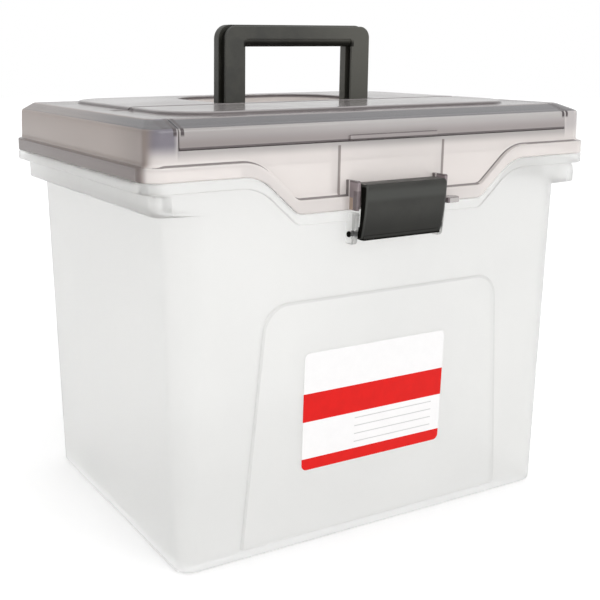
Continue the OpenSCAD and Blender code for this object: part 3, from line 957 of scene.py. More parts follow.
@dataclass(frozen=True)
class FrostedPlastic:
    """Natural polypropylene of the tub and the tray: milky, lets light through, softly glossy.

    Attributes:
        name: Name of the material.
        colour: Base colour.
        shade: Colour of the thicker, shaded places.
        foot: Colour of the painted shade towards the floor, where the walls meet the bottom.
        painted_shade: Colour of the painted shade just inside the arch's edge, on the latch's brackets and at
            the sole.
        through: Share of light that passes.
        roughness: Mean roughness.
        bend: How much light bends on entry; thin walls trap too much of it at the full value.
        gloss: Share of the smooth moulded skin.
        arch: The raised arch, just inside whose edge shade is painted.
    """

    name: str = "frosted_plastic"
    colour: Colour = (0.975, 0.974, 0.965)
    shade: Colour = (0.95, 0.95, 0.942)
    foot: Colour = (0.86, 0.86, 0.85)
    painted_shade: Colour = (0.45, 0.45, 0.442)
    through: float = 0.9
    roughness: float = 0.45
    bend: float = 1.15
    gloss: float = 0.5
    arch: Arch = Arch()

    def deeper(self, recipe: Recipe, spot: Spot) -> Signal:
        """Where shade is painted: a line just inside the arch's edge, the latch's brackets, and a contact
        shadow along the sole.

        Args:
            recipe: The material's recipe.
            spot: The point that is shaded.

        Returns:
            The mask.
        """
        arch, along, up = self.arch, spot.along, spot.up
        # Painted shade line just inside the arch's edge, on the front wall
        side = spot.away + (up - arch.low * MM) * arch.lean - (arch.half_low - arch.corner) * MM
        rise = (up - (arch.top - arch.corner) * MM) | 0.0
        reach = ((side | 0.0) ** 2 + rise ** 2) ** 0.5
        edge = recipe.within(reach, arch.corner - 1.4, arch.corner - 0.1, 0.8)
        edge = edge * (along < -108 * MM) * (up > 8.5 * MM)
        # Painted shade on the latch's brackets
        bracket = (along < -123.6 * MM) * recipe.within(up, 200, 224, 2)
        # Painted contact shadow, fading up from the sole over 9 mm
        sole = recipe.fade(up, 0, 9, 1.0, 0.0)
        return edge * 0.3 + bracket + sole * 0.18

    def make(self) -> bpy.types.Material:
        """Builds the material.

        Returns:
            The material.
        """
        recipe = Recipe(self.name)
        spot = Spot(recipe)
        cloud = recipe.noise(60, 3, 0.55)
        flow = recipe.noise(14, 2, 0.5, recipe.stretched((1.0, 1.0, 0.15)))
        grain = recipe.noise(0.55, 2, 0.6)
        ripple = recipe.noise(26, 1, 0.4)
        tone = recipe.ease(cloud * 0.7 + flow * 0.3, 0.35, 0.68)
        # Painted shade towards the floor: a quarter share of the foot colour at the sole, gone by 130 mm
        low = recipe.fade(spot.up, 0, 130, 0.25, 0.0)
        base = recipe.blend(low, recipe.blend(tone, self.shade, self.colour), self.foot)
        # The base colour takes the painted shade that deeper() marks
        return recipe.finish(recipe.principled({
            "Base Color": recipe.blend(self.deeper(recipe, spot), base, self.painted_shade),
            "Roughness": recipe.uneven(cloud, self.roughness, 0.06, 0.06),
            "Transmission Weight": self.through, "IOR": self.bend, "Coat Weight": self.gloss,
            "Coat Roughness": 0.3, "Coat IOR": 1.49,
            "Normal": recipe.bump(grain, 0.1, 0.04, recipe.bump(ripple, 0.08, 0.4))}))


@dataclass(frozen=True)
class SmokePlastic:
    """Smoke-grey see-through polypropylene of the lid and the flap, with painted light and shade on its faces
    and edges.

    Attributes:
        name: Name of the material.
        colour: Colour of the front apron and the back.
        dark: Colour of its denser streaks.
        top: Painted shade of the level top.
        field: Painted shade of the raised field.
        side: Painted shade of the side walls.
        rim: Painted shade of the rim's sides, also towards the front of the side walls, where the ribs show
            through the apron, and on the left of the strip.
        slope: Painted shade of the slope between the front and the top, also the painted shadow under the
            flap's strip.
        strip: Painted shade of the flap's front strip at its foot.
        strip_top: Painted highlight of the strip below its shoulder, also the lift tab's colour.
        corner: Painted shade of the upper front corners, stronger on the left.
        ear: Colour of the ears beside the latch.
        brown: Colour at the foot of the ears.
        line: Colour of the painted shade lines along shut lines, edges and the ribs.
        tint: Colour that light takes on its way through the plastic.
        density: How fast it does so, per metre.
        through: Share of light that passes.
        roughness: Mean roughness.
        bend: How much light bends on entry.
        gloss: Share of the smooth moulded skin.
    """

    name: str = "smoke_plastic"
    colour: Colour = (0.94, 0.888, 0.862)
    dark: Colour = (0.91, 0.856, 0.828)
    top: Colour = (0.4, 0.366, 0.363)
    field: Colour = (0.44, 0.41, 0.406)
    side: Colour = (0.475, 0.4, 0.36)
    rim: Colour = (0.2, 0.156, 0.146)
    slope: Colour = (0.165, 0.158, 0.168)
    strip: Colour = (0.47, 0.424, 0.418)
    strip_top: Colour = (0.64, 0.61, 0.6)
    corner: Colour = (0.27, 0.25, 0.29)
    ear: Colour = (0.4, 0.335, 0.35)
    brown: Colour = (0.6, 0.45, 0.35)
    line: Colour = (0.1, 0.08, 0.085)
    tint: Colour = (0.5, 0.44, 0.43)
    density: float = 40.0
    through: float = 0.38
    roughness: float = 0.19
    bend: float = 1.42
    gloss: float = 0.2

    @staticmethod
    def front(recipe: Recipe, spot: Spot) -> Signal:
        """One on the front and on the slope above it."""
        return recipe.fade(spot.along, -100.4, -99.4, 1.0, 0.0)

    def top_layers(self, recipe: Recipe, spot: Spot) -> list[Layer]:
        """Painted shade on the level top and the raised field, painted shade lines along their edges, and the
        painted shadow under the flap's strip.

        Args:
            recipe: The material's recipe.
            spot: The point that is shaded.

        Returns:
            Share and colour of each layer, from the lowest up.
        """
        up, away = spot.up, spot.away
        # Painted shadow under the flap's strip
        under = recipe.within(up, 267.8, 269, 6) * self.front(recipe, spot) * (away < 153 * MM)
        return [
            (under * 0.42, self.slope),
            (recipe.fade(up, 284.8, 285.6), self.top),
            (recipe.fade(up, 286.6, 287.2), self.field),
            (recipe.within(up, 286.1, 287.2, 0.2) * 0.7, self.line),
            (recipe.within(up, 285.1, 285.8, 0.15) * recipe.fade(away, 160.5, 162) * 0.6, self.line),
        ]

    def side_layers(self, recipe: Recipe, spot: Spot) -> list[Layer]:
        """Painted shade on the front corners, stronger on the left, on the side walls, darker towards their
        front, and on the rim's sides.

        Args:
            recipe: The material's recipe.
            spot: The point that is shaded.

        Returns:
            Share and colour of each layer, from the lowest up.
        """
        along, away = spot.along, spot.away
        # Painted shade on the front corners, stronger on the left
        corner = recipe.fade(away, 150.5, 155.5) * recipe.fade(spot.across, -50, 50, 1.0, 0.35)
        # Painted shade on the side walls
        wall = recipe.fade(away, 160.5, 164.5) * recipe.fade(along, -114.5, -108.5)
        return [
            (corner * self.front(recipe, spot) * recipe.fade(spot.up, 262, 273), self.corner),
            (wall, self.side),
            (wall * recipe.fade(along, -112, -50, 0.42, 0.0), self.rim),
            (recipe.fade(away, 171.2, 173) * recipe.fade(along, -119.5, -106), self.rim),
        ]

    def apron_layers(self, recipe: Recipe, spot: Spot) -> list[Layer]:
        """A painted shade line at the apron's foot, thinner on the right slope, and painted shade on the ribs
        and where they show through the apron.

        Args:
            recipe: The material's recipe.
            spot: The point that is shaded.

        Returns:
            Share and colour of each layer, from the lowest up.
        """
        across, along, up, away = spot.across, spot.along, spot.up, spot.away
        # Painted shade on the ribs and where they show through the apron
        rib = recipe.within(away, 40.5, 42.3, 0.2) * recipe.within(up, 236, 266.4, 0.4)
        level = (away < 113 * MM) | (up > 259.8 * MM)
        outer = (along < -117.3 * MM) * (across > 73 * MM) * (across < 114.5 * MM)
        # Painted shade line at the apron's foot
        foot = recipe.within(along, -119, -116.55, 0.2) * level * (1 - outer * 0.8)
        return [
            (foot * 0.8, self.line),
            (rib * recipe.within(along, -115.2, -107, 0.4) * 0.8, self.line),
            (rib * (along < -115.6 * MM) * 0.75, self.rim),
        ]

    def flap_layers(self, recipe: Recipe, spot: Spot) -> list[Layer]:
        """Painted shade on the flap's front strip, darker on its left, with a painted highlight below its
        shoulder; painted shade on the slope above it; and painted shade lines along and beside both.

        Args:
            recipe: The material's recipe.
            spot: The point that is shaded.

        Returns:
            Share and colour of each layer, from the lowest up.
        """
        along, up, away = spot.along, spot.up, spot.away
        front = self.front(recipe, spot)
        strip = (away < 152.2 * MM) * (up > 268.6 * MM) * (along < -112.8 * MM)
        # Painted shade strokes beside the shut lines at the flap's ends
        ends = recipe.within(away, 149.0, 150.8, 0.4) + recipe.within(away, 153.3, 155.1, 0.4)
        slope = recipe.within(up, 281.4, 285.2, 0.5)
        return [
            (strip, recipe.blend(recipe.fade(up, 271.5, 279.5), self.strip, self.strip_top)),
            (strip * recipe.fade(spot.across, -150, 0, 0.22, 0.0), self.rim),
            (slope * front, self.slope),
            (slope * recipe.fade(away, 152, 164) * recipe.fade(along, -117, -30, 0.7, 0.0), self.line),
            (slope * recipe.fade(away, 160.5, 162.5) * recipe.fade(along, -110, 40, 1.0, 0.5), self.slope),
            (strip * (along < -116.9 * MM) * recipe.within(up, 272.4, 273.2, 0.2) * 0.7, self.line),
            (strip * recipe.within(up, 268.5, 270.1, 0.5) * 0.8, self.line),
            (recipe.within(up, 278.2, 285.2, 2) * ends * front, self.line),
        ]

    def ear_layers(self, spot: Spot) -> list[Layer]:
        """The ears beside the latch, with painted shade along their top and lower front, their brown foot,
        and the lift tab with a painted shade line along its top.

        Args:
            spot: The point that is shaded.

        Returns:
            Share and colour of each layer, from the lowest up.
        """
        along, up, away = spot.along, spot.up, spot.away
        ear = (along < -120.3 * MM) * (away < 47.8 * MM)
        return [
            (ear, self.ear),
            (ear * (up > 244.1 * MM) * 0.6, self.line),
            (ear * (up < 239 * MM) * (along < -124.3 * MM) * 0.55, self.line),
            (ear * (up < 234.5 * MM) * (along > -123.8 * MM), self.brown),
            (ear * (away > 36.6 * MM), self.strip_top),
            (ear * (away > 36.6 * MM) * (up > 229.7 * MM) * 0.5, self.line),
        ]

    def zones(self, recipe: Recipe, tone: Signal) -> bpy.types.NodeSocket:
        """Lays the painted light and shade over the plain colour.

        Args:
            recipe: The material's recipe.
            tone: Where the streaks are.

        Returns:
            The base colour's socket.
        """
        spot = Spot(recipe)
        layers = [*self.top_layers(recipe, spot), *self.side_layers(recipe, spot),
                  *self.apron_layers(recipe, spot), *self.flap_layers(recipe, spot), *self.ear_layers(spot)]
        colour = recipe.blend(tone, self.dark, self.colour)
        for share, over in layers:
            colour = recipe.blend(share, colour, over)
        return colour

    def make(self) -> bpy.types.Material:
        """Builds the material.

        Returns:
            The material.
        """
        recipe = Recipe(self.name)
        cloud = recipe.noise(70, 3, 0.55)
        flow = recipe.noise(12, 2, 0.5, recipe.stretched((0.25, 1.0, 1.0)))
        grain = recipe.noise(0.5, 2, 0.6)
        ripple = recipe.noise(30, 1, 0.4)
        tone = recipe.ease(cloud * 0.65 + flow * 0.35, 0.34, 0.66)
        surface = recipe.principled({
            "Base Color": self.zones(recipe, tone),
            "Roughness": recipe.uneven(cloud, self.roughness, 0.04, 0.05),
            "Transmission Weight": self.through, "IOR": self.bend, "Coat Weight": self.gloss,
            "Coat Roughness": 0.12, "Coat IOR": 1.49,
            "Normal": recipe.bump(grain, 0.04, 0.03, recipe.bump(ripple, 0.06, 0.3))})
        inside = recipe.node("ShaderNodeVolumeAbsorption", None, {
            "Color": (*self.tint, 1.0), "Density": self.density})
        return recipe.finish(surface, inside)


@dataclass(frozen=True)
class DarkPlastic:
    """Dark grey-olive moulded plastic of the handle and the latch.

    Attributes:
        name: Name of the material.
        colour: Base colour.
        worn: Colour of its paler clouds.
        painted_highlight: Colour of the painted highlights.
        hollow: Colour of the painted shade under the grip, in the grooves, and on the latch's sides and foot.
        roughness: Mean roughness.
        bend: Refractive index, which sets how strong the reflections are.
    """

    name: str = "dark_plastic"
    colour: Colour = (0.022, 0.022, 0.017)
    worn: Colour = (0.04, 0.039, 0.031)
    painted_highlight: Colour = (0.075, 0.073, 0.06)
    hollow: Colour = (0.008, 0.008, 0.007)
    roughness: float = 0.42
    bend: float = 1.5

    @staticmethod
    def highlight_mask(recipe: Recipe, spot: Spot) -> Signal:
        """Where highlights are painted: a band across the latch's face below its crest, its side edges, and
        the handle, lighter towards its right leg.

        Args:
            recipe: The material's recipe.
            spot: The point that is shaded.

        Returns:
            The mask.
        """
        up, away = spot.up, spot.away
        # Painted highlight band across the latch's face, just below its crest
        crest = recipe.within(up, 235, 237.5, 4) * (away < 31 * MM)
        # Painted highlights along the latch's side edges
        edges = recipe.within(away, 31.0, 31.9, 0.4) * (up < 250 * MM)
        # Painted highlight on the handle, growing towards its right leg
        return crest | edges | (up > 270 * MM) * recipe.fade(spot.across, -20, 58)

    @staticmethod
    def hollows(recipe: Recipe, spot: Spot) -> Signal:
        """Where hardly any light falls: under the grip, in the groove, and the latch's sides and foot.

        Args:
            recipe: The material's recipe.
            spot: The point that is shaded.

        Returns:
            The mask.
        """
        up, away = spot.up, spot.away
        grip = (up > 325.9 * MM) * recipe.fade(up, 328, 331.2, 1.0, 0.0) * (away < 47 * MM)
        groove = (up > 270 * MM) * recipe.within(spot.along, -5.3, 0.3, 0.3)
        foot = recipe.fade(up, 208.2, 209.4, 1.0, 0.4) * recipe.fade(up, 212, 228, 1.0, 0.0)
        latch = (up < 250 * MM) * (recipe.fade(away, 31.9, 32.3) | foot)
        return (grip | groove) * 0.8 | latch

    def make(self) -> bpy.types.Material:
        """Builds the material.

        Returns:
            The material.
        """
        recipe = Recipe(self.name)
        spot = Spot(recipe)
        cloud = recipe.noise(16, 4, 0.6)
        grain = recipe.noise(0.45, 3, 0.65)
        pits = recipe.noise(1.3, 2, 0.5)
        tone = recipe.ease(cloud * 0.75 + grain * 0.25, 0.4, 0.66)
        colour = recipe.blend(tone, self.colour, self.worn)
        # Painted highlights laid over the base colour
        skin = recipe.principled({
            "Base Color": recipe.blend(self.highlight_mask(recipe, spot) * 0.8, colour, self.painted_highlight),
            "Roughness": recipe.uneven(cloud, self.roughness, 0.07, 0.09),
            "IOR": self.bend, "Normal": recipe.bump(grain * 0.6 + pits * 0.4, 0.2, 0.06)})
        # Painted shade: a dark diffuse shader mixed in where the hollows mask is
        depth = recipe.node("ShaderNodeBsdfDiffuse", None, {"Color": (*self.hollow, 1.0)})
        return recipe.finish(recipe.either(self.hollows(recipe, spot), skin, depth))


@dataclass(frozen=True)
class PrintedLabel:
    """White paper label with plain colour bands and ruled lines.

    Attributes:
        sheet: Place and size of the label.
        paper: Colour of the paper.
        band: Colour of the bands.
        rule: Colour of the ruled lines.
        wide_band: Where the upper band lies, as shares of the height from the top.
        low_band: Where the lower band begins, down to the label's edge.
        ruled_down: Where the ruled lines lie, as shares of the height from the top.
        ruled_right: Where they lie, as shares of the width from the left.
        rules: Number of ruled lines in the whole height.
    """

    sheet: Sheet = Sheet()
    paper: Colour = (0.87, 0.862, 0.862)
    band: Colour = (0.66, 0.007, 0.005)
    rule: Colour = (0.5, 0.5, 0.5)
    wide_band: Flat = (0.34, 0.58)
    low_band: float = 0.9
    ruled_down: Flat = (0.62, 0.87)
    ruled_right: Flat = (0.36, 0.93)
    rules: float = 14.3

    def make(self) -> bpy.types.Material:
        """Builds the material.

        Returns:
            The material.
        """
        recipe = Recipe("label_paper")
        spot, sheet = Spot(recipe), self.sheet
        down = 1 - (spot.up * (1 / (sheet.height * MM)) - sheet.low / sheet.height)
        right = spot.across * (1 / (sheet.width * MM)) - sheet.left / sheet.width
        inked = (down > self.wide_band[0]) * (down < self.wide_band[1]) | (down > self.low_band)
        wave = recipe.maths("FRACT", (down - 0.6) * self.rules)
        lines = (wave > 0.4) * (wave < 0.52) * (down > self.ruled_down[0]) * (down < self.ruled_down[1])
        lines = lines * (right > self.ruled_right[0]) * (right < self.ruled_right[1])
        waver = recipe.noise(7, 3, 0.6)
        fibre = recipe.noise(0.6, 3, 0.7)
        red = recipe.blend(recipe.ease(waver, 0.3, 0.7), self.band, scaled(self.band, 1.07))
        paper = recipe.blend(recipe.ease(waver * 0.6 + fibre * 0.4, 0.35, 0.65), self.paper,
                             scaled(self.paper, 0.975))
        ruled = recipe.blend(lines * 0.8, paper, self.rule)
        return recipe.finish(recipe.principled({
            "Base Color": recipe.blend(inked, ruled, red),
            "Roughness": 0.44 - inked * 0.1 + fibre * 0.08,
            "IOR": 1.27, "Normal": recipe.bump(fibre + inked * 0.4, 0.16, 0.04)}))


@dataclass(frozen=True)
class StudioFloor:
    """Pale floor that shows white to the camera and still takes the object's shadow.

    Attributes:
        colour: Its colour under the light.
        glow: Light that it adds for the eye.
        backdrop: How white it is behind the plastic.
    """

    colour: Colour = (0.8, 0.8, 0.8)
    glow: float = 0.3
    backdrop: float = 1.0

    def make(self) -> bpy.types.Material:
        """Builds the material.

        Returns:
            The material.
        """
        recipe = Recipe("studio_floor")
        tint = recipe.blend(recipe.noise(400, 2, 0.5), self.colour, scaled(self.colour, 0.985))
        base = recipe.node("ShaderNodeBsdfDiffuse", None, {"Color": tint})
        glow = recipe.node("ShaderNodeEmission", None, {"Strength": self.glow})
        bright = recipe.node("ShaderNodeAddShader", None, {0: base, 1: glow})
        shown = recipe.either(recipe.rays("Is Camera Ray", "Is Glossy Ray"), base, bright)
        white = recipe.node("ShaderNodeEmission", None, {"Strength": self.backdrop})
        return recipe.finish(recipe.either(recipe.rays("Is Transmission Ray"), shown, white))


# The latch's finish: a little darker, with dimmer painted highlights
LATCH_PLASTIC = DarkPlastic(name="latch_plastic", colour=(0.019, 0.019, 0.016), worn=(0.026, 0.026, 0.022),
                            painted_highlight=(0.045, 0.047, 0.042), roughness=0.4, bend=1.41)
# The tray's finish: nearly clear, with a lighter painted shade towards the floor
TRAY_PLASTIC = FrostedPlastic(name="tray_plastic", colour=(0.97, 0.96, 0.96), shade=(0.94, 0.93, 0.93),
                              foot=(0.94, 0.93, 0.93), through=0.97, roughness=0.12, bend=1.05, gloss=0.15)


# Pieces


@dataclass
class Tub:
    """Frosted tub with its flange, folder rails, latch brackets and hinge bars.

    Attributes:
        wave: The parting line.
        arch: The raised arch on the front.
        height: Height of the tub's edge.
        flange_drop: Depth of the flange.
        half_band: Half the width of the band below the flange.
        half_body: Half the width of the body at its top.
        half_base: Half the width of the body at its foot.
        front_body: Distance of the front from the middle at the body's top.
        front_base: The same at its foot.
        band_z: Height of the band's lower edge.
        foot: Radius of the round at the foot.
        floor_round: Radius of the round between the inner wall and the floor.
        corner: Radius of the body's front corners at the top.
        base_corner: Radius of the front corners at the foot.
        rear: Radius of the rear corners.
        wall: Thickness of the walls.
        floor: Thickness of the floor.
    """

    wave: Wave
    arch: Arch = Arch()
    height: float = 251.0
    flange_drop: float = 6.5
    half_band: float = 168.0
    half_body: float = 156.5
    half_base: float = 152.2
    front_body: float = 117.7
    front_base: float = 112.1
    band_z: float = 231.0
    foot: float = 4.0
    floor_round: float = 7.0
    corner: float = 24.0
    base_corner: float = 11.0
    rear: float = 19.5
    wall: float = 2.2
    floor: float = 2.5

    def base_rings(self, angles: Sequence[float], turn: float, inside: float,
                   low: float) -> list[list[Vector]]:
        """Rings of the round between a wall and the bottom.

        Args:
            angles: Angles round the turn in degrees, 0 at the bottom and 90 at the wall.
            turn: Radius of the round.
            inside: How far it runs inside the outer wall.
            low: Height of the bottom.

        Returns:
            One ring for each angle.
        """
        rings = []
        for angle in angles:
            tuck = inside + turn * (1 - math.sin(math.radians(angle)))
            rise = low + turn * (1 - math.cos(math.radians(angle)))
            half_y = self.front_base - tuck
            rings.append(self.wave.ring(self.half_base - tuck, -half_y, half_y, self.base_corner - tuck, rise,
                                        rear=self.rear - tuck))
        return rings

    def hung_rings(self, rows: Sequence[tuple], half_y: float, edge: float) -> list[list[Vector]]:
        """Rings under the S-curve, by half width, front and rear radii, height and gap below it."""
        return [self.wave.ring(half_x, -half_y, half_y, radius, z, Follow.UNDER, edge - gap, rear)
                for half_x, radius, rear, z, gap in rows]

    def rings(self) -> list[list[Vector]]:
        """Rings of the tub from the underside over the flange down to the inner floor.

        Returns:
            The rings in order.
        """
        skirt = self.height - self.flange_drop
        shelf = self.band_z + self.wall
        under = [(self.half_body, self.corner, self.rear, self.band_z - 0.9, 2.4),
                 (self.half_body + 0.4, 23.6, self.rear, self.band_z - 0.2, 1.8),
                 (self.half_band - 0.9, 12.6, 16.9, self.band_z + 0.1, 1.2),
                 (self.half_band, 11.7, 16.0, self.band_z + 1.0, 0.6)]
        upper = [(self.half_band, self.front_body, 11.7, 16.0, skirt - 0.2),
                 (174.4, 119.4, 13.4, 13.4, skirt),
                 (175.0, 120.0, 14.0, 14.0, skirt + 0.7),
                 (175.0, 120.0, 14.0, 14.0, self.height - 0.7),
                 (174.4, 119.4, 13.4, 13.4, self.height),
                 (166.4, 116.1, 10.1, 14.4, self.height),
                 (165.8, 115.5, 9.5, 13.8, self.height - 0.6)]
        inner = [(165.8, 9.5, 13.8, shelf + 0.6, 2.0), (165.2, 10.1, 14.4, shelf + 0.1, 2.6),
                 (154.9, 21.6, 17.3, shelf, 3.2), (154.3, 21.8, 17.3, shelf - 0.7, 4.2)]
        return [*self.base_rings((0, 18, 36, 54, 72, 90), self.foot, 0.0, 0.0),
                *self.hung_rings(under, self.front_body, skirt),
                *(self.wave.ring(half_x, -half_y, half_y, radius, z, Follow.WAVE, rear=rear)
                  for half_x, half_y, radius, rear, z in upper),
                *self.hung_rings(inner, self.front_body - self.wall, self.height),
                *self.base_rings((90, 66, 42, 18, 0), self.floor_round, self.wall, self.floor)]

    def wall_y(self, z: float) -> float:
        """Place of the front wall's outer face at a height."""
        lean = (self.front_body - self.front_base) / (self.band_z - self.foot)
        return -self.front_base - (z - self.foot) * lean

    def on_wall(self, name: str, outline: Outline, levels: Sequence[Flat]) -> bpy.types.Object:
        """A thin plate that lies on the leaning front wall.

        Args:
            name: Name of the object.
            outline: Its front view.
            levels: How far each section is moved inwards, and how far it stands proud of the wall.

        Returns:
            A closed solid.
        """
        rings = [[Vector((x, self.wall_y(z) - proud, z)) for x, z in inset(outline, depth)]
                 for depth, proud in levels]
        return loft(name, rings)

    def front_field(self) -> bpy.types.Object:
        """The raised arch on the front wall."""
        levels = ((0.0, -1.2), (0.0, 0.05), (0.25, 0.45), (0.9, 0.74), (1.8, 0.8))
        return self.on_wall("front_field", self.arch.outline(), levels)

    def pads(self) -> list[bpy.types.Object]:
        """Raised ends of the band that wrap round the two front corners.

        Returns:
            Both pads.
        """
        levels = ((self.band_z + 0.2, 0.1), (self.band_z + 0.5, 0.75), (238.3, 0.8), (242.5, -0.2))

        def one(side: float) -> bpy.types.Object:
            """Builds the pad of one side.

            Args:
                side: The side, -1 or 1.

            Returns:
                The pad.
            """
            rings = []
            for z, proud in levels:
                face = -self.front_body - proud
                corners = [(167.9, -104.0, 0), (167.9, face, 10.0), (157.0, face, 0.7), (157.0, -104.0, 0)]
                rings.append(lay(rounded(mirrored(corners, side), 8), z))
            return loft("corner_pad", rings)

        return both_sides(one)

    def brackets(self) -> list[bpy.types.Object]:
        """The two brackets in which the latch turns.

        Returns:
            Both brackets.
        """
        view = rounded([(-125.2, 204.8, 2.5), (-115.6, 204.8, 0), (-115.6, 225.2, 0), (-127.4, 225.2, 1.5)])

        def one(side: float) -> bpy.types.Object:
            """Builds the bracket of one side.

            Args:
                side: The side, -1 or 1.

            Returns:
                The bracket.
            """
            plate = prism("bracket", Axis.X, view, *span(side, 32.9, 36.0), 0.4)
            ring = rod("bracket_ring", LATCH_AXIS, 3.4, *span(side, 35.6, 36.5), 0.25)
            carve(plate, [ring], Carve.ADD)
            return carve(plate, [rod("bore", LATCH_AXIS, 1.96, *span(side, 32.0, 38.0))], Carve.TAKE)

        return both_sides(one)

    def hinge_bars(self) -> list[bpy.types.Object]:
        """Ears and bars at the back that carry the lid's clips.

        Returns:
            Two ears and a bar for each hinge.
        """
        view = rounded([(116.0, 244.8, 0), (117.8, 244.8, 0), (126.5, 245.9, 3.4), (130.0, 250.2, 2.5),
                        (125.6, 254.9, 3.4), (121.6, 250.8, 1.0), (116.0, 250.8, 0)], 5)
        reach = 15.8
        solids = []
        for middle in HINGE_PLACES:
            for offset in (-reach, reach):
                solids.append(prism("hinge_ear", Axis.X, view, middle + offset - 2, middle + offset + 2, 0.4))
            solids.append(rod("hinge_bar", HINGE_AXIS, 2.5, middle - reach, middle + reach))
        return solids

    def make(self) -> bpy.types.Object:
        """Builds the tub.

        Returns:
            The tub's piece.
        """
        tub = loft("tub_shell", self.rings())
        channels = paired_blocks("channel", (self.half_band, -98, 243), (172.8, 98, 248.8))
        carve(tub, channels, Carve.TAKE)
        rails = paired_blocks("rail", (154.3, -95, 230.4), (156.5, 95, 243.5), 0.7)
        trim = [self.front_field(), *self.pads(), *self.brackets(), *rails, *self.hinge_bars()]
        carve(tub, trim, Carve.ADD)
        return settle(tub)


@dataclass
class Label:
    """Paper label on the raised arch.

    Attributes:
        tub: The tub that it is glued to.
        sheet: Its place and size.
    """

    tub: Tub
    sheet: Sheet = Sheet()

    def make(self) -> bpy.types.Object:
        """Builds the label's piece."""
        levels = ((0.0, 0.83), (0.0, 1.05), (0.12, 1.13))
        return settle(self.tub.on_wall("paper_label", self.sheet.outline(), levels))


